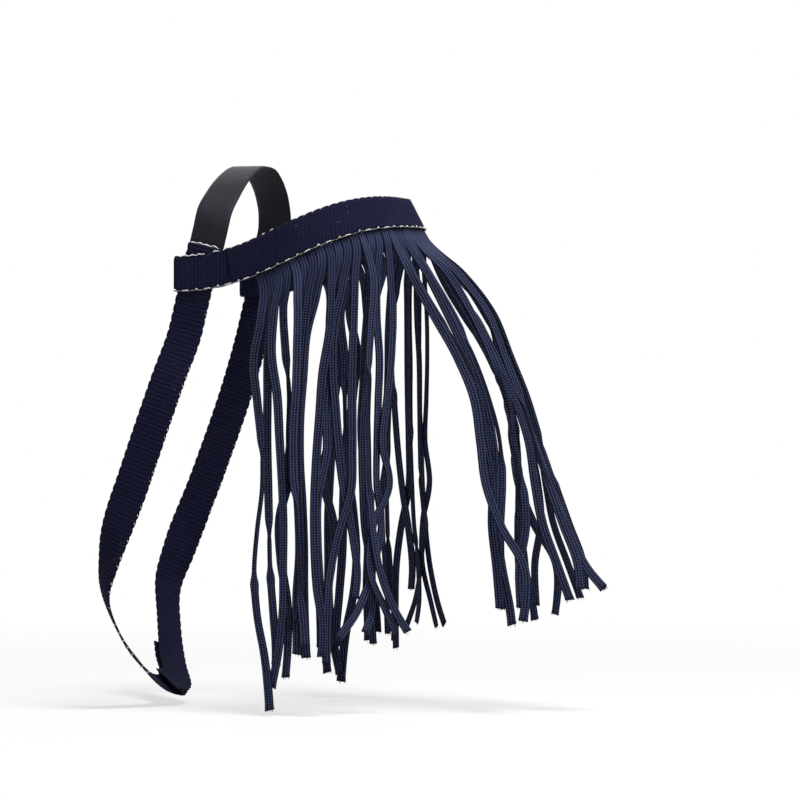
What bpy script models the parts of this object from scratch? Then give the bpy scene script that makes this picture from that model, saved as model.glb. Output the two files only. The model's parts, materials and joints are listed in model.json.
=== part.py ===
"""A fringed fly browband for a horse: a head strap, a sliding browband and a cord fringe.

Metres, +Z up, +X towards the horse's nose, +Y towards its left. The origin is the middle of
the crown's underside, where it rests on the poll, just behind the ears.

The head strap is an elastic crown that is sewn to two webbing throat straps, which close
under the throat with hook and loop. The browband is one strip of webbing. Each of its ends is
folded back round the head strap and sewn to itself, so the band slides along the strap. The
fringe hangs from a heading tape inside its lower edge: each cord is doubled over the heading,
so that it gives two legs, and two neighbouring cords make a tuft that swings from the band.
"""

import math
from collections import namedtuple

import bmesh
import bpy
from mathutils import Matrix, Vector

# Sizes, in metres.
WEB_WIDTH = 0.025  # the navy webbing, for the browband and the throat straps alike
WEB_THICK = 0.0015
ELASTIC_WIDTH = 0.026
ELASTIC_THICK = 0.0018
TAPE_WIDTH = 0.009  # the fringe's heading tape, inside the browband's lower edge
TAPE_THICK = 0.0012
TAPE_FLAT = 0.010  # the length of tape that lies flat on the middle of the forehead
HOOK_WIDTH = 0.021  # the two closure tapes
HOOK_THICK = 0.0012
CORD_WIDTH = 0.0065  # a flat braided fringe cord
CORD_THICK = 0.0015

SEWN_GAP = 0.0003  # between layers that are sewn to each other, or that hang from each other
SLIDE_GAP = 0.0005  # between the browband's loop and the head strap inside it

# The head strap.
CROWN_FLAT = 0.016  # the flat length that lies on the poll
LOOP_HALF = 0.080  # from the middle of the head to the middle of the strap, at the loops
LOOP_DROP = 0.0789  # from the poll down to the middle of a loop
STRAP_X = -0.0152  # the strap's middle, at the middle of a loop
STRAP_LEAN = math.radians(13.5)  # the strap leans forward at the top
ELASTIC_BELOW = 0.004  # how far the elastic runs on below the middle of a loop
PEEK = 0.0185  # how far the webbing's turned end reaches above the middle of a loop
TURNED = 0.026  # the length of webbing that is turned under at that end
STRAIGHT = 0.034  # the strap is straight this far above and below the middle of a loop
THROAT_TILT = math.radians(37)  # the strap's face follows the slope under the throat
THROAT_YAW = math.radians(52)  # and turns back with the throat on its way there

# The browband.
LOOP_BACK = -0.0346  # the folded end of the loop
SEAM_X = 0.008  # the row of stitches that closes the loop
SEAM_TAIL = 0.004  # the webbing's end, past the stitches
SEAM_RUN = 0.0068  # the length in which the inner layer comes up to the outer one
CHEEK_HALF = 0.088  # half the head's width at the temples
CHEEK_X = 0.045  # where the band starts to turn round the forehead
BROW_REACH = 0.121  # the middle of the forehead, in front of the poll
BROW_DROP = 0.034  # and below it
BROW_LEAN = math.radians(28)  # the band leans back at the top, against the forehead
CLIMB_DELAY = 1.2  # above 1, the band climbs later on its way to the forehead

# The fringe.
SIDE_PITCH = 0.0136  # from cord to cord on the cheeks
BROW_PITCH = 0.0122  # and on the forehead
TUFTS_ON_BROW = 2  # tufts of two cords, on each half of the forehead
TUFTS_ON_SIDE = 4  # and on each cheek
TUFTS_TURNED = 1  # of the cheek's tufts, those whose legs go the other way about on the left
LEG_SPREAD = 0.25  # a leg's place beside the middle of its cord, in pitches
DROP_STEP = 0.030  # the height between two points of a leg's route

# The throat closure.
LAP_GAP = 0.0003
TAB_START = -0.008  # along the strap from the middle of the throat, towards the left
TAB_END = 0.058
HOOK_START = -0.001
HOOK_END = 0.050
LOOP_TAPE_START = -0.010
LOOP_TAPE_END = 0.056
LEFT_END = -0.014
LAP_EASE = 0.036  # the length in which the right strap moves out over the left one

# The throat's half line below the loop, from the right loop to the middle of the throat.
THROAT_ROUTE = [
    (-0.037, -0.087, -0.155),
    (-0.061, -0.087, -0.222),
    (-0.083, -0.081, -0.282),
    (-0.089, -0.074, -0.306),
    (-0.084, -0.060, -0.335),
    (-0.074, -0.038, -0.360),
    (-0.062, -0.012, -0.373),
    (-0.060, 0.0, -0.375),
]

# What the sizes above give.
FOLD_PITCH = WEB_THICK + SEWN_GAP  # from layer to layer where webbing is folded on itself
PACK = 2 * WEB_THICK + ELASTIC_THICK + 2 * SEWN_GAP  # the strap's layers inside a loop
LOOP_RADIUS = PACK / 2 + SLIDE_GAP + WEB_THICK / 2
WEB_OUT = PACK / 2 - WEB_THICK / 2  # each layer's place outside the middle of the pack
TURNED_OUT = WEB_OUT - FOLD_PITCH
ELASTIC_OUT = ELASTIC_THICK / 2 - PACK / 2
CORD_RADIUS = CORD_THICK / 2 + SEWN_GAP  # of the cord's fold over the heading
LAP = WEB_THICK + 2 * HOOK_THICK + 3 * LAP_GAP  # from strap to strap at the closure
X_AXIS, Y_AXIS, Z_AXIS = Vector((1, 0, 0)), Vector((0, 1, 0)), Vector((0, 0, 1))
STRAP_AXIS = Vector((math.sin(STRAP_LEAN), 0, math.cos(STRAP_LEAN)))

# A place on a strip: its middle, the way across its width, and the way out of its face.
Station = namedtuple("Station", "at wide out")

# One leg of a cord: its layer and its swerve are in millimetres, its turn in degrees. The run
# gives how far forward it hangs at each DROP_STEP below the heading, in millimetres, and its
# last figure is at the leg's end, reach millimetres down.
Leg = namedtuple("Leg", "layer swerve turn reach run")

RIGHT_LEGS = [
    Leg(4.5, 8, 0, 307, (2, -3, 0, 3.5, 4, 0.5, -1.5, 1, 7, 10.5, 11)),
    Leg(-1.5, 8, 0, 278, (2, -1, -1, -1, 0, 1, 2, 4.5, 7, 7)),
    Leg(1.5, 8, 0, 296, (-1.5, -3, 1.5, 3.5, 5.5, 7, 7, 7, 4, -1)),
    Leg(-4.5, 8, 0, 292, (-2.5, -1, 2, 1.5, 2.5, -4.5, -3, 2, 2.5, 1)),
    Leg(4.5, 10, 0, 272, (4, 4, 3.5, 2, 2.5, 5, 7, 8.5, 11, 11)),
    Leg(-1.5, 10, 0, 281, (1, -1.5, -3, -5, -3.5, -1, 0, -1.5, -1, -1)),
    Leg(1.5, 10, 0, 261, (-1, -4, -6, -7.5, -7.5, -6.5, -5, -4.5, -6)),
    Leg(-4.5, 10, 0, 289, (-2, -9, -11, -13, -13, -11, -9.5, -9, -8, -7)),
    Leg(4.5, 14, 0, 290, (2, 1, -3.5, -5.5, -7.5, -8.5, -8, -6, -1.5, -2)),
    Leg(-4.5, 14, 0, 286, (0, -2.5, -3.5, -5, -4.5, -10.5, -10.5, -8.5, -7, -6.5)),
    Leg(-1.5, 14, 0, 254, (-1, -6.5, -7.5, -5, -2, 2.5, 9, 12.5, 11)),
    Leg(1.5, 14, 0, 301, (1, 0.5, 0, 0, 0.5, 0, -9, -15, -16.5, -16.5, -16.5)),
    Leg(4.5, 20, 0, 282, (8, 6.5, 5, 5, 6.5, 8, 11.5, 19, 34.5, 44)),
    Leg(-4.5, 20, 0, 283, (2.5, 2.5, 2.5, 0.5, 0, 1.5, 4, 10.5, 10.5, 5.5)),
    Leg(-1.5, 20, 0, 287, (1.5, 2.5, 5.5, 5, 4.5, 5, 9.5, 2.5, -11.5, -26.5)),
    Leg(1.5, 20, 0, 287, (5, 7.5, 7, 4, 0.5, 7.5, -6.5, -9, 6.5, 16)),
]

BROW_LEGS = [
    Leg(7.5, 4, 50, 277, (10.5, 26, 43.5, 56, 60.5, 64.5, 76, 93, 93, 92)),
    Leg(4.5, 3, 50, 269, (10, 27, 47, 57.5, 62.5, 68, 68, 71.5, 74)),
    Leg(1.5, 2.5, 50, 281, (18.5, 34, 48.5, 60, 67, 69.5, 69.5, 74, 80, 81.5)),
    Leg(-1.5, 2, 50, 270, (17.5, 36, 51.5, 63, 71, 72.5, 71.5, 72, 75.5)),
    Leg(7.5, 2, 50, 270, (22.5, 39.5, 54, 66, 70.5, 76.5, 79, 74.5, 75.5)),
    Leg(4.5, 1.5, 50, 264, (22, 41, 57, 70.5, 81, 86, 92, 103, 112)),
    Leg(1.5, 1, 50, 257, (30, 52.5, 64.5, 76.5, 86, 96.5, 107.5, 118.5, 120)),
    Leg(-1.5, 0, 45, 256, (29, 50.5, 63, 73.5, 86, 97.5, 110, 124.5, 138)),
]


def ease(share):
    """0 to 1 with level ends."""
    share = min(1.0, max(0.0, share))
    return share * share * (3 - 2 * share)


def mirrored(vector):
    """The same place on the other side of the head."""
    return Vector((vector.x, -vector.y, vector.z))


def through(points, spacing):
    """A smooth curve through the points, as a list of places about that far apart."""
    gaps = [(b - a).length for a, b in zip(points, points[1:])]
    speeds = [(b - a) / gap for a, b, gap in zip(points, points[1:], gaps)]
    tangents = [speeds[0]]
    for before, after, near, far in zip(speeds, speeds[1:], gaps, gaps[1:]):
        tangents.append((before * far + after * near) / (near + far))
    tangents.append(speeds[-1])
    made = [points[0].copy()]
    ends = zip(points, points[1:], tangents, tangents[1:], gaps)
    for start, end, leave, arrive, gap in ends:
        steps = max(1, round(gap / spacing))
        for step in range(1, steps + 1):
            t = step / steps
            swing = leave * (t * (1 - t) ** 2) - arrive * (t * t * (1 - t))
            made.append(start.lerp(end, t * t * (3 - 2 * t)) + swing * gap)
    return made


def headings(points):
    """The direction of travel at each point of a line."""
    ends = zip([points[0], *points[:-1]], [*points[1:], points[-1]])
    return [(b - a).normalized() for a, b in ends]


def across(vector, direction):
    """The part of a vector that is square to a direction, as a unit vector."""
    return (vector - vector.dot(direction) * direction).normalized()


def stations(points, wides):
    """A strip's stations, from its middle line and the rough way across it at each point."""
    made = []
    for at, wide, along in zip(points, wides, headings(points)):
        wide = across(wide, along)
        made.append(Station(at, wide, along.cross(wide)))
    return made


def ruled(points, wides):
    """Stations whose way across is kept, and lengthened where the strip runs aslant to it."""
    made = []
    for at, wide, along in zip(points, wides, headings(points)):
        aslant = (wide - wide.dot(along) * along).length
        made.append(Station(at, wide / aslant, along.cross(wide).normalized()))
    return made


def moved(line, rise=0.0, lift=0.0):
    """A line of stations, moved across its width and out of its face."""
    return [Station(s.at + s.wide * rise + s.out * lift, s.wide, s.out) for s in line]


# Materials and strips.


def make_material(name, colour, roughness):
    """A plain finish; every piece here is textile or elastic, so none is metallic."""
    material = bpy.data.materials.new(name)
    material.use_nodes = True
    shader = material.node_tree.nodes["Principled BSDF"]
    shader.inputs["Base Color"].default_value = (*colour, 1)
    shader.inputs["Roughness"].default_value = roughness
    shader.inputs["Metallic"].default_value = 0
    return material


def make_strip(name, line, width, thick, material):
    """A flat grid bent along the stations, then given its thickness."""
    count = len(line)
    shape = bmesh.new()
    bmesh.ops.create_grid(shape, x_segments=count - 1, y_segments=1, size=1)
    for vertex in shape.verts:
        station = line[round((vertex.co.x + 1) / 2 * (count - 1))]
        side = math.copysign(width / 2, vertex.co.y)
        vertex.co = station.at + station.wide * side
    mesh = bpy.data.meshes.new(name)
    shape.to_mesh(mesh)
    shape.free()
    mesh.materials.append(material)
    strip = bpy.data.objects.new(name, mesh)
    parts.objects.link(strip)
    solid = strip.modifiers.new("thickness", "SOLIDIFY")
    solid.thickness = thick
    solid.offset = 0
    solid.use_even_offset = True
    return strip


# The head strap.


def strap_point(along, out):
    """A place in the right loop: along the strap from the loop's middle, and out of the pack."""
    middle = Vector((STRAP_X, -LOOP_HALF - out, loop_height(STRAP_X)))
    return middle + STRAP_AXIS * along


def loop_height(x):
    """The height of the band's middle line, which climbs from the loops to the forehead."""
    share = max(0.0, (x - LOOP_BACK) / (BROW_REACH - LOOP_BACK)) ** CLIMB_DELAY
    return -LOOP_DROP + (LOOP_DROP - BROW_DROP) * ease(share)


def strap_wides(points):
    """The rough way across the head strap: square to it at the loops, tilted at the throat."""
    made = []
    for point in points:
        low = ease((point.z + LOOP_DROP + 2 * STRAIGHT) / (THROAT_ROUTE[-1][2] / 2))
        high = ease((point.z + LOOP_DROP - STRAIGHT) / (LOOP_DROP - STRAIGHT))
        tilt = STRAP_LEAN * (1 - low - high) + THROAT_TILT * low
        beside = ease(abs(point.y) / LOOP_HALF * 1.3)
        yaw = THROAT_YAW * beside * ease((point.z + 3 * LOOP_DROP) / (-LOOP_DROP * 1.1))
        wide = Vector((math.cos(tilt), 0, -math.sin(tilt))) * math.cos(yaw)
        wide.y = math.copysign(math.sin(yaw), point.y)
        made.append(wide)
    return made


def crown_line():
    """Over the poll from the right loop to the left one, with a flat stretch at the top."""
    top = ELASTIC_THICK / 2
    end = strap_point(-ELASTIC_BELOW, ELASTIC_OUT)
    straight = strap_point(STRAIGHT, ELASTIC_OUT)
    side = -straight.y
    drop = -straight.z
    bend = [
        Vector((0.80 * straight.x, -0.965 * side, -0.78 * drop)),
        Vector((0.45 * straight.x, -0.79 * side, -0.47 * drop)),
        Vector((0.15 * straight.x, -0.46 * side, -0.14 * drop)),
    ]
    flat = [Vector((0, y * CROWN_FLAT, top)) for y in (-0.5, -0.3)]
    rise = [end, strap_point(STRAIGHT * 0.9, ELASTIC_OUT), straight]
    half = through([*rise, *bend, *flat], 0.012)
    whole = half + [mirrored(p) for p in reversed(half)]
    return stations(whole, strap_wides(whole))


def turned_end():
    """The right strap's top: webbing turned under, so that its fold shows above the loop."""
    radius = FOLD_PITCH / 2
    middle = strap_point(PEEK, TURNED_OUT + radius)
    under = [strap_point(PEEK - TURNED, TURNED_OUT), strap_point(PEEK - TURNED / 2, TURNED_OUT)]
    fold = [
        middle + Y_AXIS * radius * math.cos(turn) + STRAP_AXIS * radius * math.sin(turn)
        for turn in (math.radians(30 * step) for step in range(7))
    ]
    return under + fold


def throat_half():
    """The right strap's line, from its turned end down to the middle of the throat."""
    straight = [strap_point(k * STRAIGHT, WEB_OUT) for k in (0.4, 0, -0.5, -1, -1.2)]
    route = [Vector(p) for p in THROAT_ROUTE]
    return turned_end() + through([*straight, *route], 0.01)


def throat_ring():
    """The whole line, turned end to turned end, as (distance from its middle, place)."""
    half = throat_half()
    whole = half + [mirrored(p) for p in reversed(half[:-1])]
    ring = stations(whole, strap_wides(whole))
    run = [0.0]
    for a, b in zip(whole, whole[1:]):
        run.append(run[-1] + (b - a).length)
    middle = run[len(half) - 1]
    return [(s - middle, station) for s, station in zip(run, ring)]


def cut(ring, start, end):
    """The stretch of a measured line between two distances, with its ends worked out."""

    def at(where):
        for (s0, a), (s1, b) in zip(ring, ring[1:]):
            if s0 <= where <= s1:
                t = (where - s0) / (s1 - s0)
                wide = a.wide.lerp(b.wide, t)
                out = a.out.lerp(b.out, t).normalized()
                return where, Station(a.at.lerp(b.at, t), wide, out)
        raise ValueError("outside the line")

    margin = 0.0003
    between = [(s, place) for s, place in ring if start + margin < s < end - margin]
    return [at(start), *between, at(end)]


def places(measured):
    return [station for _, station in measured]


def lifted(measured):
    """The right strap, which moves out over the left one as it nears the closure."""
    made = []
    for s, place in measured:
        share = ease((s - LEFT_END + LAP_EASE + SEWN_GAP) / LAP_EASE)
        made.append(Station(place.at + place.out * LAP * share, place.wide, place.out))
    return made


def make_head_strap(web, elastic, hook):
    make_strip("crown_elastic", crown_line(), ELASTIC_WIDTH, ELASTIC_THICK, elastic)

    ring = throat_ring()
    first, last = ring[0][0], ring[-1][0]
    right = lifted(cut(ring, first, TAB_START))
    make_strip("throat_strap_right", right, WEB_WIDTH, WEB_THICK, web)
    left = places(cut(ring, LEFT_END, last))
    make_strip("throat_strap_left", left, WEB_WIDTH, WEB_THICK, web)

    tape_out = WEB_THICK / 2 + LAP_GAP + HOOK_THICK / 2
    tab = places(cut(ring, TAB_START + SEWN_GAP, TAB_END))
    make_strip("closure_tab", moved(tab, lift=LAP), WEB_WIDTH, WEB_THICK, web)
    tape = places(cut(ring, HOOK_START, HOOK_END))
    tape = moved(tape, lift=LAP - tape_out)
    make_strip("closure_hook_tape", tape, HOOK_WIDTH, HOOK_THICK, hook)
    tape = places(cut(ring, LOOP_TAPE_START, LOOP_TAPE_END))
    tape = moved(tape, lift=tape_out)
    make_strip("closure_loop_tape", tape, HOOK_WIDTH, HOOK_THICK, hook)

    hinge = tab[0]
    return hinge.at + hinge.out * (LAP + WEB_THICK / 2), hinge.wide


# The browband and its heading tape.


def loop_plan():
    """The loop in plan, right side: the sewn tail, the inner layer and the fold."""
    inner = LOOP_RADIUS - LOOP_HALF
    sewn = -LOOP_HALF - LOOP_RADIUS + FOLD_PITCH
    centre = LOOP_BACK + WEB_THICK / 2 + LOOP_RADIUS
    plan = [(SEAM_X + SEAM_TAIL, sewn)]
    for step in range(9):
        share = step / 8
        plan.append((SEAM_X - SEAM_RUN * share, sewn + (inner - sewn) * ease(share)))
    plan.append(((SEAM_X - SEAM_RUN + centre) / 2, inner))
    for step in range(9):
        turn = math.radians(90 + 22.5 * step)
        x = centre + LOOP_RADIUS * math.cos(turn)
        plan.append((x, LOOP_RADIUS * math.sin(turn) - LOOP_HALF))
    return plan


def cheek_plan():
    """The outer layer in plan, from the fold to the middle of the forehead, with its lean."""
    outer = -LOOP_HALF - LOOP_RADIUS
    plan = []
    for step in range(1, 13):
        x = LOOP_BACK + (CHEEK_X - LOOP_BACK) * step / 12
        share = ease((x - SEAM_X) / (CHEEK_X - SEAM_X))
        plan.append((x, outer + (-CHEEK_HALF - outer) * share, 0))
    for step in range(1, 18):
        turn = math.radians(90 - 5 * step)
        x = CHEEK_X + (BROW_REACH - CHEEK_X) * math.cos(turn)
        plan.append((x, -CHEEK_HALF * math.sin(turn), BROW_LEAN * math.cos(turn)))
    return plan


def band_places(plan):
    """The plan's places in space, each with its lean."""
    return [(Vector((x, y, loop_height(x))), lean) for x, y, lean in plan]


def leaning(places_and_leans):
    """Stations of a band whose top leans in by a given angle, on the outer layer."""
    points = [p for p, _ in places_and_leans]
    wides = []
    for (_, lean), along in zip(places_and_leans, headings(points)):
        level_out = along.cross(Z_AXIS).normalized()
        wides.append(Z_AXIS * math.cos(lean) - level_out * math.sin(lean))
    return ruled(points, wides)


def outer_band():
    """The browband's outer layer, from the right loop round the forehead to the left loop."""
    half = band_places(cheek_plan())
    other = [(mirrored(p), lean) for p, lean in reversed(half)]
    return leaning(half + other)


def make_browband(web, tape):
    """The browband, its heading tape, and the middle of the tape's flat inside at the brow."""
    tail = [Vector((x, y, loop_height(x))) for x, y in loop_plan()]
    right = ruled(tail, [Z_AXIS] * len(tail))
    left = [Station(mirrored(s.at), s.wide, mirrored(s.out)) for s in reversed(right)]
    line = right + outer_band() + left
    make_strip("browband_webbing", line, WEB_WIDTH, WEB_THICK, web)

    edge = lower_edge()
    half = edge_length()
    inside = [*cut(edge, -half, -TAPE_FLAT / 2), *cut(edge, TAPE_FLAT / 2, half)]
    line = moved(places(inside), TAPE_WIDTH / 2, -(WEB_THICK + TAPE_THICK) / 2 - SEWN_GAP)
    make_strip("fringe_heading_tape", line, TAPE_WIDTH, TAPE_THICK, tape)

    middle = len(line) // 2
    across_it = line[middle].at - line[middle - 1].at
    facing = line[middle].wide + line[middle - 1].wide
    facing = across_it.cross(facing).normalized()
    brow = (line[middle].at + line[middle - 1].at) / 2
    return brow - facing * TAPE_THICK / 2, -facing


def lower_edge():
    """The browband's lower edge, measured from the middle of the forehead."""
    edge = moved(outer_band(), rise=-WEB_WIDTH / 2)
    run = [0.0]
    for a, b in zip(edge, edge[1:]):
        run.append(run[-1] + (b.at - a.at).length)
    return [(s - run[-1] / 2, place) for s, place in zip(run, edge)]


def edge_length():
    """Half the length of the fringe's heading."""
    return 2 * (TUFTS_ON_BROW * BROW_PITCH + TUFTS_ON_SIDE * SIDE_PITCH)


# The fringe.


def cord_places():
    """Where each cord of the right half hangs: its name, distance along the edge and pitch."""
    made = []
    count = 2 * TUFTS_ON_SIDE
    for index in range(count):
        away = edge_length() - (index + 0.5) * SIDE_PITCH
        made.append((f"cheek_{index + 1}", -away, SIDE_PITCH))
    count = 2 * TUFTS_ON_BROW
    for index in range(count):
        away = (count - index - 0.5) * BROW_PITCH
        made.append((f"brow_{index + 1}", -away, BROW_PITCH))
    return made


def fold_place(edge, away):
    """The middle of a cord's fold, just below the heading, and the band's axes there."""
    place = cut(edge, away, away + 0.01)[0][1]
    below = SEWN_GAP + CORD_RADIUS + CORD_THICK / 2
    behind = WEB_THICK / 2 + SEWN_GAP + TAPE_THICK / 2
    return Station(place.at - place.wide * below - place.out * behind, place.wide, place.out)


def leg_points(fold, along, way, pitch, place, sign, leg):
    """A leg's middle line, from the fold down.

    The sign is 1 for the outer leg and -1 for the inner one; the place is -1 or 1, for the
    side of the cord's middle on which the leg hangs.
    """
    mm = 0.001
    start = fold.at + fold.out * CORD_RADIUS * sign
    level_out = Vector((fold.out.x, fold.out.y, 0)).normalized()
    points = [start, start - fold.wide * 2 * CORD_RADIUS]
    for index, forward in enumerate(leg.run):
        drop = DROP_STEP * (index + 1)
        if index == len(leg.run) - 1:
            drop = leg.reach * mm
        share = drop / 0.3
        points.append(
            start
            + along * pitch * place * LEG_SPREAD * ease(share * 7)
            + way * forward * mm
            - Y_AXIS * leg.swerve * mm * share
            + level_out * (leg.layer * mm - CORD_RADIUS * sign) * ease(share * 7)
            - Z_AXIS * drop
        )
    return points


def leg_line(points, along, leg):
    """The stations of a leg, which turns on itself by its turn on the way down."""
    line = through(points, DROP_STEP / 2)
    level = Vector((along.x, along.y, 0)).normalized()
    wides = []
    for index, heading in enumerate(headings(line)):
        share = index / (len(line) - 1)
        wide = across(along.lerp(level, ease(6 * share)), heading)
        turn = Matrix.Rotation(math.radians(leg.turn) * ease(5 * share), 3, heading)
        wides.append(turn @ wide)
    return line, wides


def make_cord(name, fold, along, way, pitch, legs, material, flip):
    """One cord: up its outer leg, over the heading and down its inner leg."""
    outer = 0 if legs[0].layer >= legs[1].layer else 1
    lines = []
    for index, leg in enumerate(legs):
        sign = 1 if index == outer else -1
        points = leg_points(fold, along, way, pitch, index * 2 - 1, sign, leg)
        lines.append(leg_line(points, along, leg))
    down, up = lines[1 - outer], lines[outer]
    fold_turns = [math.radians(36 * step) for step in range(1, 5)]
    over = [
        fold.at + fold.out * CORD_RADIUS * math.cos(t) + fold.wide * CORD_RADIUS * math.sin(t)
        for t in fold_turns
    ]
    points = up[0][::-1] + over + down[0]
    wides = up[1][::-1] + [along] * len(over) + down[1]
    if flip:
        points = [mirrored(p) for p in points]
        wides = [mirrored(w) for w in wides]
    line = stations(points, wides)
    make_strip(name, line, CORD_WIDTH, CORD_THICK, material)


def other_side(legs, tuft):
    """The left side's legs: the same, but that the rear tufts are turned about."""
    if tuft < TUFTS_TURNED:
        return [leg._replace(run=[-sway for sway in leg.run]) for leg in reversed(legs)]
    return legs


def make_fringe(material):
    """Every cord, right half and left half, and the hinge line of each tuft."""
    edge = lower_edge()
    rows = RIGHT_LEGS + BROW_LEGS
    found = cord_places()
    hinges = {}
    for index in range(0, len(found), 2):
        pair = found[index : index + 2]
        on_cheek = index < 2 * TUFTS_ON_SIDE
        folds = [fold_place(edge, away) for _, away, _ in pair]
        along = (folds[1].at - folds[0].at).normalized()
        way = Vector((along.x, along.y, 0)).normalized() if on_cheek else X_AXIS
        right = rows[2 * index : 2 * index + 4]
        left = other_side(right, index // 2)
        for number, ((name, _, pitch), fold) in enumerate(zip(pair, folds)):
            square = across(fold.out, along)
            frame = Station(fold.at, across(fold.wide, along), square)
            for side, legs in (("right", right), ("left", left)):
                title = f"fringe_cord_{side}_{name}"
                own = legs[2 * number : 2 * number + 2]
                make_cord(title, frame, along, way, pitch, own, material, side == "left")
        middle = (folds[0].at + folds[1].at) / 2
        hinges[f"tuft_{index // 2 + 1}"] = (middle, along)
    return hinges


for thing in list(bpy.data.objects):
    bpy.data.objects.remove(thing)

parts = bpy.data.collections.new("fly_fringe")
bpy.context.scene.collection.children.link(parts)

NAVY_WEB = make_material("navy_webbing", (0.008, 0.0075, 0.021), 0.85)
BLACK_ELASTIC = make_material("black_elastic", (0.023, 0.023, 0.03), 0.7)
SLATE_CORD = make_material("slate_blue_cord", (0.027, 0.033, 0.075), 0.7)
DARK_TAPE = make_material("dark_heading_tape", (0.01, 0.01, 0.022), 0.9)
BLACK_HOOK = make_material("black_hook_and_loop", (0.012, 0.012, 0.012), 0.95)

tab_hinge = make_head_strap(NAVY_WEB, BLACK_ELASTIC, BLACK_HOOK)
brow_face = make_browband(NAVY_WEB, DARK_TAPE)
tuft_hinges = make_fringe(SLATE_CORD)

print("slide axis", [round(v, 5) for v in STRAP_AXIS])
print("brow face", [[round(v, 5) for v in vector] for vector in brow_face])
print("closure hinge", [[round(v, 5) for v in vector] for vector in tab_hinge])
for tuft, (middle, along) in tuft_hinges.items():
    print(tuft, [round(v, 5) for v in middle], [round(v, 5) for v in along])
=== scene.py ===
# %% [markdown]
# # A fly fringe for a horse
#
# A horse wears this piece of tack in the field. An elastic goes over the poll, two webbing
# straps meet under the throat, and a browband slides on them. A fringe of flat plaited cords
# hangs from the browband, and its swing keeps the flies off the eyes. The script dresses a
# finished CAD model of it: the CAD gives every strap its place and every joint its motion, and
# the pieces made here give it weave, plait, thread and wear.

import json
import math
import random
from collections import defaultdict, namedtuple

import bpy
import numpy as np
from mathutils import Matrix, Vector

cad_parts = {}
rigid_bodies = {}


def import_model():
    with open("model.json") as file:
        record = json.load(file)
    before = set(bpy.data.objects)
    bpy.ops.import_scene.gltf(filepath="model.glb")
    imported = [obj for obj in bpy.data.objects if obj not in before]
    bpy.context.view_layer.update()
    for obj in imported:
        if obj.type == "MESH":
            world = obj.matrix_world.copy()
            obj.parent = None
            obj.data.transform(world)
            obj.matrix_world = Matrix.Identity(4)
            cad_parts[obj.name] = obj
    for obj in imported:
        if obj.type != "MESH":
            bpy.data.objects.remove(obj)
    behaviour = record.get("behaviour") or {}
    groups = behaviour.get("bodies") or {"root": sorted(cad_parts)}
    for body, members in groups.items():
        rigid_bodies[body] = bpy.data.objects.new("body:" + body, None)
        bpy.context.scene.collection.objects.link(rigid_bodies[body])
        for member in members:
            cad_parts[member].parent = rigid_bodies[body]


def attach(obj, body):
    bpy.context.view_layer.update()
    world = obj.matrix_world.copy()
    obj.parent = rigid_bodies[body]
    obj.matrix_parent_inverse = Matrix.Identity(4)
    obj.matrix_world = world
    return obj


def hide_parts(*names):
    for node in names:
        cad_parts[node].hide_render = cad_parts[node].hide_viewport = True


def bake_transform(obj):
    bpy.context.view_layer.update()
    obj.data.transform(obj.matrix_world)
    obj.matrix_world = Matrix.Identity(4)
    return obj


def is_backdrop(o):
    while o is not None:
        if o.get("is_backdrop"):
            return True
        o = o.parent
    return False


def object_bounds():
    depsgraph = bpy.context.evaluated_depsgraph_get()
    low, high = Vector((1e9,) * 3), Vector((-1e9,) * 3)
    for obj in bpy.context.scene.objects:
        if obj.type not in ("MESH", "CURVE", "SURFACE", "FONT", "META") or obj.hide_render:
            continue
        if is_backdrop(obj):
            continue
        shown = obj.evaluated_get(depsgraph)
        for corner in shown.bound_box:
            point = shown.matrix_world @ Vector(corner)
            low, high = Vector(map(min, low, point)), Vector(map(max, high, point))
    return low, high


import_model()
cad_low, cad_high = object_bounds()


def added(name, data):
    """A new object in the scene."""
    thing = bpy.data.objects.new(name, data)
    bpy.context.scene.collection.objects.link(thing)
    return thing

# %% [markdown]
# ## The camera
#
# A long lens from three metres away keeps the straps' widths true from front to back. A short
# lens close by could show the same side, but it would swell the near cheek. The camera stands
# level, a little in front of the horse's right side.

# %% Set the camera
VIEW_TURN = math.radians(15)
VIEW_DISTANCE = 3.0
VIEW_WIDTH = 0.5634  # what the view takes in, at the near cheek
SENSOR = 36.0
looked_at = Vector((0.1343, -0.085, -0.169))
forward = Vector((-math.sin(VIEW_TURN), math.cos(VIEW_TURN), 0))
camera = added("camera", bpy.data.cameras.new("camera"))
camera.data.sensor_width = SENSOR
camera.data.lens = SENSOR * VIEW_DISTANCE / VIEW_WIDTH
camera.location = looked_at - forward * VIEW_DISTANCE
camera.rotation_euler = (math.pi / 2, 0, VIEW_TURN)
bpy.context.scene.camera = camera
print("lens", round(camera.data.lens), "mm")

# %% [markdown]
# ## Sizes
#
# A maker writes the cutting list first. The widths and thicknesses are those of the CAD model,
# in metres, with +X to the horse's nose, +Y to its left and +Z up. A name for each length
# keeps the straps, the fringe and the stitches in step with each other.

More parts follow.
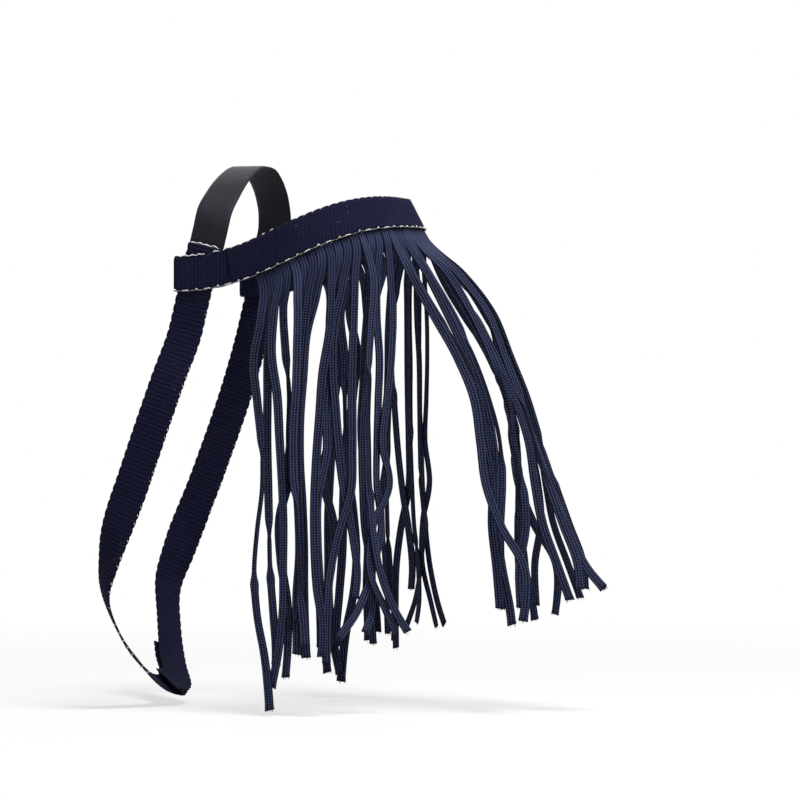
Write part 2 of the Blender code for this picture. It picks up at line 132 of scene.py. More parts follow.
# %% Write the cutting list
WEB_WIDTH, WEB_THICK = 0.025, 0.0015
ELASTIC_WIDTH, ELASTIC_THICK = 0.026, 0.0018
TAPE_WIDTH, TAPE_THICK = 0.009, 0.0012
HOOK_WIDTH, HOOK_THICK = 0.021, 0.0012
CORD_WIDTH, CORD_THICK = 0.0066, 0.0015
SEWN_GAP, SLIDE_GAP, LAP_GAP = 0.0003, 0.0005, 0.0003
CROWN_FLAT = 0.016
LOOP_HALF, LOOP_DROP, STRAP_X = 0.080, 0.0789, -0.0152
STRAP_LEAN = math.radians(13.5)
ELASTIC_BELOW, PEEK, TURNED, STRAIGHT = 0.004, 0.0185, 0.026, 0.034
THROAT_TILT, THROAT_YAW = math.radians(37), math.radians(52)
LOOP_BACK, SEAM_X, SEAM_TAIL, SEAM_RUN = -0.0346, 0.008, 0.004, 0.0068
CHEEK_HALF, CHEEK_X, BROW_REACH, BROW_DROP = 0.088, 0.045, 0.121, 0.034
BROW_LEAN = math.radians(28)
CLIMB_DELAY = 1.2
SIDE_PITCH, BROW_PITCH = 0.0136, 0.0122
TUFTS_ON_BROW, TUFTS_ON_SIDE, TUFTS_TURNED = 2, 4, 1
LEG_SPREAD, DROP_STEP, FRINGE_DROP = 0.25, 0.030, 0.3
TAB_START, TAB_END, HOOK_START, HOOK_END = -0.008, 0.058, -0.001, 0.050
LOOP_TAPE_START, LOOP_TAPE_END, LEFT_END, LAP_EASE = -0.010, 0.056, -0.014, 0.036

FOLD_PITCH = WEB_THICK + SEWN_GAP
PACK = 2 * WEB_THICK + ELASTIC_THICK + 2 * SEWN_GAP
LOOP_RADIUS = PACK / 2 + SLIDE_GAP + WEB_THICK / 2
WEB_OUT = PACK / 2 - WEB_THICK / 2
ELASTIC_OUT = ELASTIC_THICK / 2 - PACK / 2
CORD_RADIUS = CORD_THICK / 2 + SEWN_GAP
HEADING_HALF = 2 * (TUFTS_ON_BROW * BROW_PITCH + TUFTS_ON_SIDE * SIDE_PITCH)
LAP = WEB_THICK + 2 * HOOK_THICK + 3 * LAP_GAP
MM = 0.001
X_AXIS, Y_AXIS, Z_AXIS = Vector((1, 0, 0)), Vector((0, 1, 0)), Vector((0, 0, 1))
STRAP_AXIS = Vector((math.sin(STRAP_LEAN), 0, math.cos(STRAP_LEAN)))
print("layers inside a loop", round(PACK / MM, 1), "mm")

# %% [markdown]
# ## Lines to sew along
#
# Every strap is a strip that bends in space, so each is kept as a row of stations: a middle
# point, the way across the strip and the way out of its face. A curve object with a flat
# profile could do it too, but it twists as it likes. Stations say which way the face looks.

# %% Helpers for lines and stations
Station = namedtuple("Station", "at wide out")


def ease(share):
    """0 to 1 with level ends."""
    share = min(1.0, max(0.0, share))
    return share * share * (3 - 2 * share)


def mirrored(vector):
    """The same place on the other side of the head."""
    return Vector((vector.x, -vector.y, vector.z))


def doubled(half):
    """A line on the right, joined to its mirror image on the left."""
    return half + [mirrored(point) for point in reversed(half)]


def through(points, spacing):
    """A smooth curve through the points, as a list of places about that far apart."""
    gaps = [(b - a).length for a, b in zip(points, points[1:])]
    speeds = [(b - a) / gap for a, b, gap in zip(points, points[1:], gaps)]
    tangents = [speeds[0]]
    for before, after, near, far in zip(speeds, speeds[1:], gaps, gaps[1:]):
        tangents.append((before * far + after * near) / (near + far))
    tangents.append(speeds[-1])
    made = [points[0].copy()]
    for start, end, leave, arrive, gap in zip(points, points[1:], tangents, tangents[1:], gaps):
        steps = max(1, round(gap / spacing))
        for step in range(1, steps + 1):
            t = step / steps
            swing = leave * (t * (1 - t) ** 2) - arrive * (t * t * (1 - t))
            made.append(start.lerp(end, t * t * (3 - 2 * t)) + swing * gap)
    return made


def headings(points):
    """The direction of travel at each point of a line."""
    ends = zip([points[0], *points[:-1]], [*points[1:], points[-1]])
    return [(b - a).normalized() for a, b in ends]


def across(vector, direction):
    """The part of a vector that is square to a direction, as a unit vector."""
    return (vector - vector.dot(direction) * direction).normalized()


def stations(points, wides, ruled=False):
    """A strip's stations, from its middle line and the rough way across it at each point.

    A ruled strip keeps its ways across, and lengthens them where it runs aslant to them.
    """
    made = []
    for at, wide, along in zip(points, wides, headings(points)):
        if ruled:
            aslant = (wide - wide.dot(along) * along).length
            wide, out = wide / aslant, along.cross(wide).normalized()
        else:
            wide = across(wide, along)
            out = along.cross(wide)
        made.append(Station(at, wide, out))
    return made


def moved(line, rise=0.0, lift=0.0):
    """A line of stations, moved across its width and out of its face."""
    return [Station(s.at + s.wide * rise + s.out * lift, s.wide, s.out) for s in line]


print("station", Station._fields)

# %% [markdown]
# ## Measuring along a line
#
# A weave repeats every millimetre or so, however the strap bends. So each line is measured
# and cut into even steps, one mesh ring for each row of the weave. A subdivision modifier would
# add points too, but not in step with the yarns.

# %% Measure, cut and even out a line
Run = namedtuple("Run", "at wide out along")


def distances(line):
    """How far along the line each station is."""
    far = [0.0]
    for a, b in zip(line, line[1:]):
        far.append(far[-1] + (b.at - a.at).length)
    return far


def unit(vectors):
    return vectors / np.linalg.norm(vectors, axis=-1, keepdims=True)


def travelled(path):
    """How far along a path each of its points is."""
    return np.concatenate([[0], np.cumsum(np.linalg.norm(np.diff(path, axis=0), axis=1))])


def sampled(where, far, table):
    """The rows of a table that lie at some distances, straight between its own rows."""
    return np.stack([np.interp(where, far, table[:, k]) for k in range(3)], axis=-1)


def evened(line, spacing, start=0.0, end=None):
    """Rows of a line about that far apart, between two distances along it."""
    far = distances(line)
    end = far[-1] if end is None else end
    count = max(2, round((end - start) / spacing) + 1)
    where = np.linspace(start, end, count)
    at, wide, out = (sampled(where, far, np.array(table)) for table in zip(*line))
    return Run(at, wide, unit(out), unit(np.cross(wide, out)))


def shifted(run, rise=0.0, lift=0.0):
    """A run moved across its width and out of its face; both may vary from row to row."""
    rise, lift = (np.broadcast_to(v, len(run.at))[:, None] for v in (rise, lift))
    return run._replace(at=run.at + run.wide * rise + run.out * lift)


def flipped(run):
    """A run on the other side of the head."""
    return Run(*(table * np.array([1, -1, 1]) for table in run))


def spread(run, wide, out, ahead=0.0):
    """Rings of points, from how far each lies across the run, out of it and ahead."""
    points = run.at[:, None]
    for axis, far in ((run.wide, wide), (run.out, out), (run.along, ahead)):
        points = points + axis[:, None] * np.asarray(far)[..., None]
    return points


def ramp(far, start, length):
    """0 up to a start, then 1 from a length further on."""
    return np.clip((far - start) / length, 0, 1)


def fade(far, length):
    """1 at no distance, 0 from a length on."""
    return np.clip(1 - far / length, 0, 1)


print("run", Run._fields)

# %% [markdown]
# ## A heap of rings
#
# Straps, cords, threads and loose fibres are all rings joined into tubes. One small class
# gathers such tubes and turns them into a mesh. It also writes where each point lies in the
# weave, in millimetres across and along, so that a finish can follow the yarns. A texture
# wrapped round from outside could not follow a strap that folds back on itself.


# %% The class that turns rings into a mesh
class Heap:
    """Tubes of rings, gathered into one mesh; side is 1 on the right and -1 on the left."""

    def __init__(self, tint=0.5, side=1):
        self.points, self.faces, self.weave, self.wear_and_shade = [], [], [], []
        self.count, self.tint, self.mirror = 0, tint, np.array([1, side, 1])

    def rings(self, points, weave=None, wear_and_shade=0.0):
        """Joins rings of points, rings by points by 3, and closes both ends."""
        rings, count, _ = points.shape
        index = self.count + np.arange(rings * count).reshape(rings, count)
        here, there = index[:-1], index[1:]
        turned = [here, there, np.roll(there, -1, 1), np.roll(here, -1, 1)]
        self.faces += np.stack(turned, -1).reshape(-1, 4).tolist()
        self.faces += [index[0].tolist(), index[-1][::-1].tolist()]
        self.points.append(points.reshape(-1, 3))
        weave = np.zeros((rings, count, 2)) if weave is None else weave
        self.weave.append(weave.reshape(-1, 2))
        self.wear_and_shade.append(np.broadcast_to(wear_and_shade, (rings, count)).reshape(-1))
        self.count += rings * count

    def tube(self, path, radius, sides=6, wear_and_shade=0.0, flat=1.0):
        """A round thread along a path; the radius may vary from point to point."""
        path = np.array(path, float) * self.mirror
        along = unit(np.gradient(path, axis=0))
        steady = np.array([0.31, 0.43, 0.85])
        side = unit(np.cross(along, steady))
        up = np.cross(along, side)
        turns = np.linspace(0, -2 * np.pi, sides, endpoint=False)
        radius = np.broadcast_to(radius, len(path))[:, None, None]
        ring = side[:, None] * np.cos(turns)[:, None] + up[:, None] * np.sin(turns)[:, None] * flat
        weave = np.broadcast_arrays(turns[None] * 0.3, travelled(path)[:, None] / MM)
        wear_and_shade = np.broadcast_to(wear_and_shade, len(path))[:, None]
        self.rings(path[:, None] + ring * radius, np.stack(weave, -1), wear_and_shade)

    def make(self, name):
        """The heap as a mesh object."""
        mesh = bpy.data.meshes.new(name)
        mesh.from_pydata(np.concatenate(self.points).tolist(), [], self.faces)
        mesh.polygons.foreach_set("use_smooth", [True] * len(self.faces))
        corners = np.zeros(len(mesh.loops), np.int32)
        mesh.loops.foreach_get("vertex_index", corners)
        layer = mesh.uv_layers.new(name="weave")
        layer.data.foreach_set("uv", np.concatenate(self.weave)[corners].astype("f").ravel())
        # This attribute holds real wear, and on the cords also painted shade just below the
        # browband.
        for title, values in (("wear_and_shade", np.concatenate(self.wear_and_shade)), ("tint", self.tint)):
            attribute = mesh.attributes.new(title, "FLOAT", "POINT")
            attribute.data.foreach_set("value", np.broadcast_to(values, self.count).astype("f"))
        return added(name, mesh)


dressed = defaultdict(list)
print("heap ready")

# %% [markdown]
# ## Where the browband runs
#
# The cords hang from the browband, so its line comes first. In plan it is a loop round the
# head strap, a straight cheek and half an ellipse round the forehead. Its height climbs from
# the loops to the brow with one soft curve, as webbing does when it is pulled round a head.

# %% The browband's line
def loop_height(x):
    """The height of the band's middle line, which climbs from the loops to the forehead."""
    share = max(0.0, (x - LOOP_BACK) / (BROW_REACH - LOOP_BACK)) ** CLIMB_DELAY
    return -LOOP_DROP + (LOOP_DROP - BROW_DROP) * ease(share)


def loop_plan():
    """The loop in plan, right side: the sewn tail, the inner layer and the fold."""
    inner = LOOP_RADIUS - LOOP_HALF
    sewn = -LOOP_HALF - LOOP_RADIUS + FOLD_PITCH
    centre = LOOP_BACK + WEB_THICK / 2 + LOOP_RADIUS
    plan = [(SEAM_X + SEAM_TAIL, sewn)]
    for share in np.linspace(0, 1, 17):
        plan.append((SEAM_X - SEAM_RUN * share, sewn + (inner - sewn) * ease(share)))
    plan.append(((SEAM_X - SEAM_RUN + centre) / 2, inner))
    for turn in np.radians(np.linspace(90, 270, 25)):
        x = centre + LOOP_RADIUS * math.cos(turn)
        plan.append((x, LOOP_RADIUS * math.sin(turn) - LOOP_HALF))
    return plan


def cheek_plan():
    """The outer layer in plan, from the fold to the middle of the forehead, with its lean."""
    outer = -LOOP_HALF - LOOP_RADIUS
    plan = []
    for x in np.linspace(LOOP_BACK, CHEEK_X, 37)[4:]:
        share = ease((x - SEAM_X) / (CHEEK_X - SEAM_X))
        plan.append((x, outer + (-CHEEK_HALF - outer) * share, 0))
    for turn in np.radians(np.linspace(90, 0, 50)[1:-1]):
        x = CHEEK_X + (BROW_REACH - CHEEK_X) * math.cos(turn)
        plan.append((x, -CHEEK_HALF * math.sin(turn), BROW_LEAN * math.cos(turn)))
    return plan


def outer_band():
    """The outer layer, from the right loop round the forehead to the left loop."""
    half = [(Vector((x, y, loop_height(x))), lean) for x, y, lean in cheek_plan()]
    points = doubled([p for p, _ in half])
    leans = [lean for _, lean in half + half[::-1]]
    wides = []
    for lean, along in zip(leans, headings(points)):
        level_out = along.cross(Z_AXIS).normalized()
        wides.append(Z_AXIS * math.cos(lean) - level_out * math.sin(lean))
    return stations(points, wides, ruled=True)


band = outer_band()
band_edge = moved(band, rise=-WEB_WIDTH / 2)
edge_far = distances(band_edge)
EDGE_MIDDLE = edge_far[-1] / 2
print("lower edge", round(edge_far[-1] / MM), "mm from fold to fold")

# %% [markdown]
# ## The fringe cords
#
# Each cord is doubled over the heading, so it gives two legs, and each leg hangs by itself
# with its own set: braid remembers the hank it was wound on. A rope simulation would hang them
# all straight. So each leg has a short list of how far forward it lies at every 30 mm of drop,
# in millimetres, together with its layer, its lean to the side, its turn and its reach.

# %% How each leg hangs
Leg = namedtuple("Leg", "layer swerve turn reach run")

RIGHT_LEGS = [
    Leg(4.5, 8, 0, 307, (2, -3, 0, 3.5, 4, 0.5, -1.5, 1, 7, 10.5, 11)),
    Leg(-1.5, 8, 0, 278, (2, -1, -1, -1, 0, 1, 2, 4.5, 7, 7)),
    Leg(1.5, 8, 0, 296, (-1.5, -3, 1.5, 3.5, 5.5, 7, 7, 7, 4, -1)),
    Leg(-4.5, 8, 0, 292, (-2.5, -1, 2, 1.5, 2.5, -4.5, -3, 2, 2.5, 1)),
    Leg(4.5, 10, 0, 272, (4, 4, 3.5, 2, 2.5, 5, 7, 8.5, 11, 11)),
    Leg(-1.5, 10, 0, 281, (1, -1.5, -3, -5, -3.5, -1, 0, -1.5, -1, -1)),
    Leg(1.5, 10, 0, 261, (-1, -4, -6, -7.5, -7.5, -6.5, -5, -4.5, -6)),
    Leg(-4.5, 10, 0, 289, (-2, -9, -11, -13, -13, -11, -9.5, -9, -8, -7)),
    Leg(4.5, 14, 0, 290, (2, 1, -3.5, -5.5, -7.5, -8.5, -8, -6, -1.5, -2)),
    Leg(-4.5, 14, 0, 286, (0, -2.5, -3.5, -5, -4.5, -10.5, -10.5, -8.5, -7, -6.5)),
    Leg(-1.5, 14, 0, 254, (-1, -6.5, -7.5, -5, -2, 2.5, 9, 12.5, 11)),
    Leg(1.5, 14, 0, 301, (1, 0.5, 0, 0, 0.5, 0, -9, -15, -16.5, -16.5, -16.5)),
    Leg(4.5, 20, 0, 282, (8, 6.5, 5, 5, 6.5, 8, 11.5, 19, 34.5, 44)),
    Leg(-4.5, 20, 0, 283, (2.5, 2.5, 2.5, 0.5, 0, 1.5, 4, 10.5, 10.5, 5.5)),
    Leg(-1.5, 20, 0, 287, (1.5, 2.5, 5.5, 5, 4.5, 5, 9.5, 2.5, -11.5, -26.5)),
    Leg(1.5, 20, 0, 287, (5, 7.5, 7, 4, 0.5, 7.5, -6.5, -9, 6.5, 16)),
]

BROW_LEGS = [
    Leg(7.5, 4, 50, 277, (10.5, 26, 43.5, 56, 60.5, 64.5, 76, 93, 93, 92)),
    Leg(4.5, 3, 50, 269, (10, 27, 47, 57.5, 62.5, 68, 68, 71.5, 74)),
    Leg(1.5, 2.5, 50, 281, (18.5, 34, 48.5, 60, 67, 69.5, 69.5, 74, 80, 81.5)),
    Leg(-1.5, 2, 50, 270, (17.5, 36, 51.5, 63, 71, 72.5, 71.5, 72, 75.5)),
    Leg(7.5, 2, 50, 270, (22.5, 39.5, 54, 66, 70.5, 76.5, 79, 74.5, 75.5)),
    Leg(4.5, 1.5, 50, 264, (22, 41, 57, 70.5, 81, 86, 92, 103, 112)),
    Leg(1.5, 1, 50, 257, (30, 52.5, 64.5, 76.5, 86, 96.5, 107.5, 118.5, 120)),
    Leg(-1.5, 0, 45, 256, (29, 50.5, 63, 73.5, 86, 97.5, 110, 124.5, 138)),
]
print("legs on each side", len(RIGHT_LEGS) + len(BROW_LEGS))

# %% [markdown]
# ## Where each leg goes
#
# The heads sit side by side along the heading, a cord's width apart, and the legs part into
# layers below it so that they lie over each other without meeting. The forehead's cords turn
# a little on themselves, like roof tiles, because the wind of the walk pushes them aside.

# %% The route of a leg
HEAD_RISE = 0.0032  # how far a cord reaches up behind the webbing, where it is sewn in
Hung = namedtuple("Hung", "title body fold along way pitch side leg")


def fold_place(away):
    """The middle of a cord's fold, just below the heading, and the band's axes there."""
    run = evened(band_edge, 0.01, EDGE_MIDDLE + away, EDGE_MIDDLE + away + 0.01)
    at, wide, out = (Vector(table[0]) for table in (run.at, run.wide, run.out))
    below = SEWN_GAP + CORD_RADIUS + CORD_THICK / 2
    behind = WEB_THICK / 2 + SEWN_GAP + TAPE_THICK / 2
    return Station(at - wide * below - out * behind, wide, out)


def heads():
    """The right half's cords, rear to front: name, distance along the edge and pitch."""
    made = []
    for index in range(2 * TUFTS_ON_SIDE):
        made.append((f"cheek_{index + 1}", (index + 0.5) * SIDE_PITCH - HEADING_HALF, SIDE_PITCH))
    for index in range(2 * TUFTS_ON_BROW):
        away = (index + 0.5 - 2 * TUFTS_ON_BROW) * BROW_PITCH
        made.append((f"brow_{index + 1}", away, BROW_PITCH))
    return made


def leg_points(hung):
    """A leg's middle line, from behind the webbing down to its cut end."""
    fold, leg = hung.fold, hung.leg
    beside = hung.along * hung.pitch * hung.side * LEG_SPREAD
    level_out = Vector((fold.out.x, fold.out.y, 0)).normalized()
    top = fold.at + fold.wide * (SEWN_GAP + CORD_RADIUS + CORD_THICK / 2 + HEAD_RISE)
    points = [top + beside, fold.at + beside, fold.at - fold.wide * 2 * CORD_RADIUS + beside]
    for index, ahead in enumerate(leg.run):
        drop = DROP_STEP * (index + 1)
        if index == len(leg.run) - 1:
            drop = leg.reach * MM
        share = drop / FRINGE_DROP
        points.append(
            fold.at
            + beside
            + hung.way * ahead * MM
            - Y_AXIS * leg.swerve * MM * share
            + level_out * leg.layer * MM * ease(share * 7)
            - Z_AXIS * drop
        )
    return points


def leg_line(hung, spacing):
    """The stations of a leg, which turns on itself by its turn on the way down."""
    line = through(leg_points(hung), spacing)
    level = Vector((hung.along.x, hung.along.y, 0)).normalized()
    wides = []
    for index, heading in enumerate(headings(line)):
        share = index / (len(line) - 1)
        wide = across(hung.along.lerp(level, ease(6 * share)), heading)
        turn = Matrix.Rotation(math.radians(hung.leg.turn) * ease(5 * share), 3, heading)
        wides.append(turn @ wide)
    return stations(line, wides)


def hung_legs():
    """Every leg of the fringe, right side first in each tuft."""
    rows, found, made = RIGHT_LEGS + BROW_LEGS, heads(), []
    for index in range(0, len(found), 2):
        pair = found[index : index + 2]
        on_cheek = index < 2 * TUFTS_ON_SIDE
        folds = [fold_place(away) for _, away, _ in pair]
        along = (folds[1].at - folds[0].at).normalized()
        way = Vector((along.x, along.y, 0)).normalized() if on_cheek else X_AXIS
        right = rows[2 * index : 2 * index + 4]
        left = right
        if index // 2 < TUFTS_TURNED:
            left = [leg._replace(run=[-sway for sway in leg.run]) for leg in reversed(right)]
        where = "cheek" if on_cheek else "brow"
        number = index // 2 + 1 - (0 if on_cheek else TUFTS_ON_SIDE)
        for cord, ((name, _, pitch), fold) in enumerate(zip(pair, folds)):
            square = across(fold.out, along)
            axes = Station(fold.at, across(fold.wide, along), square)
            for side, legs in (("right", right), ("left", left)):
                body = f"{side}_{where}_tuft_{number}"
                for half, leg in enumerate(legs[2 * cord : 2 * cord + 2]):
                    title = f"{side}_{name}"
                    made.append(Hung(title, body, axes, along, way, pitch, 2 * half - 1, leg))
    return made


legs = hung_legs()
print("legs", len(legs))

# %% [markdown]
# ## The flat plait
#
# The cord is a flat plait with three ridges side by side, and a small pit in the valleys
# wherever two strands dive under a third. Both are real relief in the mesh, one ring for each
# half repeat, so they catch light and shade from any side; the finish also paints the pits
# dark as shade. A bump alone would leave the outline smooth. The head is sewn flat. Many of the
# legs turn over once on the way down, the forehead's more than the cheeks', and where a flat
# cord shows its edge it also draws in. The cut end is dark and a little frayed, and the first
# few millimetres below the browband are painted darker as the band's shade.

# %% Plait the cords
PLAIT_ROW, PLAIT_COLUMN = 0.00097, 0.00207
CORD_HALF, PIT = 0.00110, 0.00042
SPOTS = np.array([0, 0.5, 1.035, 1.57, 2.07, 2.8, 3.3]) * MM
RIDGES = np.array([1, 0.88, 0.60, 0.88, 0.98, 0.66, 0])
FRAY_LENGTH, FLARE_LENGTH, TURN_LENGTH, ROLL_LENGTH = 0.005, 0.004, 0.022, 0.045
ROLL = {"cheek": (0.14, 0.50), "brow": (0.26, 0.75)}  # radians, and the chance of a turn
FRAYED_FIBRES = 5


def plaited(rows):
    """Across and out of each point of each ring of a plait."""
    spots = np.concatenate([-SPOTS[:0:-1], SPOTS])
    heights = np.concatenate([RIDGES[:0:-1], RIDGES])
    ring = np.array([*range(len(spots)), *range(len(spots) - 2, 0, -1)])
    side = np.where(np.arange(len(ring)) < len(spots), 1, -1)
    valley = np.isclose(np.abs(spots[ring]), PLAIT_COLUMN / 2)
    column = np.floor(spots[ring] / PLAIT_COLUMN)
    pitted = (np.arange(rows)[:, None] + column[None]) % 2 == 0
    out = (CORD_HALF * heights[ring][None] - PIT * pitted * valley[None]) * side[None]
    return np.broadcast_to(spots[ring][None], out.shape), out


def turned_over(far, rng, roll, chance):
    """How far the cord has turned on itself at each ring, in radians."""
    turn = roll * np.sin(far / ROLL_LENGTH + rng.uniform(0, 6))
    start, stay, way = rng.uniform(0.03, 0.19), rng.uniform(0, 0.075), rng.choice((-1, 1))
    if rng.random() < chance:
        for place in (start, start + TURN_LENGTH + stay):
            share = ramp(far, place, TURN_LENGTH)
            turn = turn + way * math.pi / 2 * share * share * (3 - 2 * share)
    return turn * ramp(far, 0.015, 0.03)


def frayed(heap, run, rng):
    """Loose fibres at a cord's cut end."""
    tip, along = run.at[-1], run.along[-1]
    wide, out = run.wide[-1], run.out[-1]
    for _ in range(FRAYED_FIBRES):
        root = tip + wide * rng.uniform(-0.003, 0.003) + out * rng.uniform(-0.0006, 0.0006)
        lean = wide * rng.uniform(-0.5, 0.5) + out * rng.uniform(-0.4, 0.4)
        reach = rng.uniform(0.0008, 0.0022)
        bend = out * rng.uniform(-0.0005, 0.0005)
        path = [root - along * 0.001, root + (along + lean) * reach / 2 + bend / 2]
        path.append(root + (along + lean) * reach + bend)
        heap.tube(path, [0.00016, 0.00012, 0.00005], sides=4, wear_and_shade=1)


def make_leg(hung, number, rng):
    """One leg of a cord as a mesh, and the points that it follows."""
    run = evened(leg_line(hung, 0.003), PLAIT_ROW)
    if hung.title.startswith("left"):
        run = flipped(run)
    rows = len(run.at)
    far = np.arange(rows)[:, None] * PLAIT_ROW
    left = (rows - 1) * PLAIT_ROW - far
    wide, out = plaited(rows)
    weave = np.stack(np.broadcast_arrays(wide / MM, far / MM), -1)
    sewn, flare = ramp(far, HEAD_RISE, 0.009), fade(left, FLARE_LENGTH)
    turn = turned_over(far, rng, *ROLL["brow" if "brow" in hung.title else "cheek"])
    drawn = np.sin(turn) ** 2
    uneven = 0.03 * np.sin(far / 0.023 + number)
    wide = wide * (1 + uneven + 0.08 * flare) * (1 - 0.5 * drawn)
    out = out * (0.62 + 0.38 * sewn) * (1 - 0.25 * flare) * (1 + 0.25 * drawn)
    ahead = wide * rng.uniform(-0.25, 0.25) * fade(left, 0.003)
    wide, out = wide * np.cos(turn) - out * np.sin(turn), wide * np.sin(turn) + out * np.cos(turn)
    points = spread(run, wide, out, ahead)
    # The cut end is darker, and the cord's first millimetres below the browband are painted darker
    # as the band's shade.
    wear_and_shade = np.maximum(fade(left, FRAY_LENGTH) ** 2, 0.8 * fade(far - HEAD_RISE - 0.001, 0.005))
    if hung.title.startswith("left"):
        points, weave = points[:, ::-1], weave[:, ::-1]
    heap = Heap(rng.random())
    heap.rings(points, weave, wear_and_shade)
    frayed(heap, run, rng)
    piece = heap.make(f"cord_{hung.title}_leg_{'a' if hung.side < 0 else 'b'}")
    return piece, run.at


rng = random.Random(11)
strands = []
for number, hung in enumerate(legs):
    piece, path = make_leg(hung, number, rng)
    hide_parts(f"fringe_cord_{hung.title}")
    dressed["slate cord"].append(piece)
    strands.append((piece, hung, path))
print("cord faces", sum(len(piece.data.polygons) for piece, _, _ in strands))

# %% [markdown]
#
# A leg is sewn in behind the webbing and free below it. Its head stays with the browband and
# its length swings with its tuft. Here each mesh is only baked where it lies, and the legs are
# sorted from longest to shortest.

# %% Bake the cords in place and sort them by length
BEND_LENGTH = 0.016


def cord_length(path):
    return float(np.linalg.norm(np.diff(path, axis=0), axis=1).sum())


def sided(vector, hung):
    return mirrored(vector) if hung.title.startswith("left") else vector


for piece, hung, _ in strands:
    top = sided(hung.fold.at + hung.fold.wide * 0.0005, hung)
    low = sided(hung.fold.at - hung.fold.wide * BEND_LENGTH, hung)
    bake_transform(piece)

strands.sort(key=lambda strand: -cord_length(strand[2]))
longest, shortest = (cord_length(strands[k][2]) for k in (0, -1))
print("legs from", round(shortest / MM), "to", round(longest / MM), "mm")

# %% [markdown]
# ## Woven straps
#
# Webbing is a plain weave of thick yarns: every crossing stands a little proud or a little
# low, turn by turn, and every fourth row is pulled down into a groove across the strap. The
# mesh has one point for each crossing, so the weave is real relief, and the outline has the
# small scallops where the weft turns back at the edge, one for each two ribs. Displacement
# from a texture could do this too, but it would need far more points.

# %% Weave a strap
Cloth = namedtuple(
    "Cloth", "width thick finish slot column row relief groove scallop ribbed",
    defaults=(0.0, 0.0, False),
)
WEBBING = Cloth(
    WEB_WIDTH, WEB_THICK, "navy webbing", "webbing", 0.00132, 0.00082, 0.00009, 0.00028, 0.00075
)
ELASTIC = Cloth(
    ELASTIC_WIDTH, ELASTIC_THICK * 0.94, "black elastic", "elastic", 0.00108, 0.00160, 0.00002,
    ribbed=True,
)
TAPE = Cloth(TAPE_WIDTH, TAPE_THICK, "dark tape", "heading_tape", 0.00090, 0.00110, 0.00007)
HOOK = Cloth(
    HOOK_WIDTH, HOOK_THICK * 0.7, "hook tape", "hook_and_loop", 0.00150, 0.00150, 0.00002
)
LOOP = HOOK._replace(thick=HOOK_THICK * 0.9, finish="loop tape")
RIB_ROWS = 4


def settled(heap, name, finish, body, nodes=()):
    """A heap as a piece: hides its CAD nodes, hangs it on its body (closure flap pieces are only
    baked) and files its finish.
    """
    piece = heap.make(name)
    if nodes:
        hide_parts(*nodes)
    if body == "closure_flap":
        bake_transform(piece)
    else:
        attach(piece, body)
    dressed[finish].append(piece)
    print(name, len(piece.data.polygons), "faces")


def strap(name, run, cloth, body, nodes, tint=0.5, scallops=(1, 1), wear_and_shade=0.0):
    """Weaves a strap along a run; scallops say how strong they are low and high."""
    columns = 2 * round(cloth.width / cloth.column / 2)
    inner = np.arange(1, columns) - columns / 2
    column = np.concatenate([[-columns / 2], inner, [columns / 2], inner[::-1]])[None]
    side = np.repeat([0, 1, 0, -1], [1, columns - 1, 1, columns - 1])[None]
    row = np.arange(len(run.at))[:, None]
    turn = np.where((column + (0 if cloth.ribbed else row)) % 2, -1, 1)
    relief = cloth.relief * turn * (side if cloth.ribbed else np.abs(side))
    groove = cloth.groove * (row % RIB_ROWS == 0)
    rounded = np.where(np.abs(column) > columns / 2 - 1.5, 0.36, 0.5)
    out = (rounded * cloth.thick - groove) * side + relief
    bulge = np.sqrt(np.abs(np.sin(np.pi * row / RIB_ROWS / 2))) - 0.5
    strength = np.where(column < 0, *scallops) * (np.abs(column) > columns / 2 - 1.5)
    wide = column * cloth.width / columns + np.sign(column) * cloth.scallop * bulge * strength
    weave = np.broadcast_arrays(column * cloth.column / MM, row * cloth.row / MM)
    heap = Heap(tint)
    heap.rings(spread(run, wide, out), np.stack(weave, -1), wear_and_shade)
    settled(heap, name, cloth.finish, body, nodes)


# %% [markdown]
# ## The browband
#
# One strip of webbing makes the whole browband. Each end is folded back round the head strap
# and sewn to itself, and that loop is what lets the band slide. Its top edge is wavy, because
# the weave is slack there, and its lower edge is held straighter by the catch thread. It is
# pulled tighter than the throat straps, so the grooves across it are shallow.

# %% Make the browband
tail = [Vector((x, y, loop_height(x))) for x, y in loop_plan()]
right_loop = stations(tail, [Z_AXIS] * len(tail), ruled=True)
left_loop = [Station(mirrored(s.at), s.wide, mirrored(s.out)) for s in reversed(right_loop)]
band_line = right_loop + band + left_loop
band_run = evened(band_line, WEBBING.row)
strap(
    "browband_strap", band_run, WEBBING._replace(groove=0.00018), "browband",
    ["browband_webbing"], tint=0.42, scallops=(0.35, 1), wear_and_shade=0.6,
)

# %% [markdown]
# ## The heading tape
#
# On the inside, a narrow tape covers the cords' heads and is sewn through them. It swells
# where the cords lie under it and lies flat on the webbing above them.

# %% Make the heading tape
tape_start, tape_end = EDGE_MIDDLE - HEADING_HALF, EDGE_MIDDLE + HEADING_HALF
tape_run = evened(band_edge, TAPE.row, tape_start, tape_end)
heap = Heap(0.3)
count = round(TAPE_WIDTH / TAPE.column)
rises = np.concatenate([np.linspace(0, TAPE_WIDTH, count), np.linspace(TAPE_WIDTH, 0, count)])
faces_in = np.concatenate([np.ones(count), np.zeros(count)])
swell = (CORD_THICK + 0.0001) * (1 - ramp(rises, HEAD_RISE, 0.0022)) ** 0.7
row = np.arange(len(tape_run.at))[:, None]
step = np.round(rises / TAPE.column)[None]
bumps = TAPE.relief * np.where((row + step) % 2, 1, -1) * faces_in[None]
depth = WEB_THICK / 2 + 0.00015 + swell[None] + faces_in[None] * TAPE_THICK * 0.6 + bumps
weave = np.stack(np.broadcast_arrays(rises[None] / MM, row * TAPE.row / MM), -1)
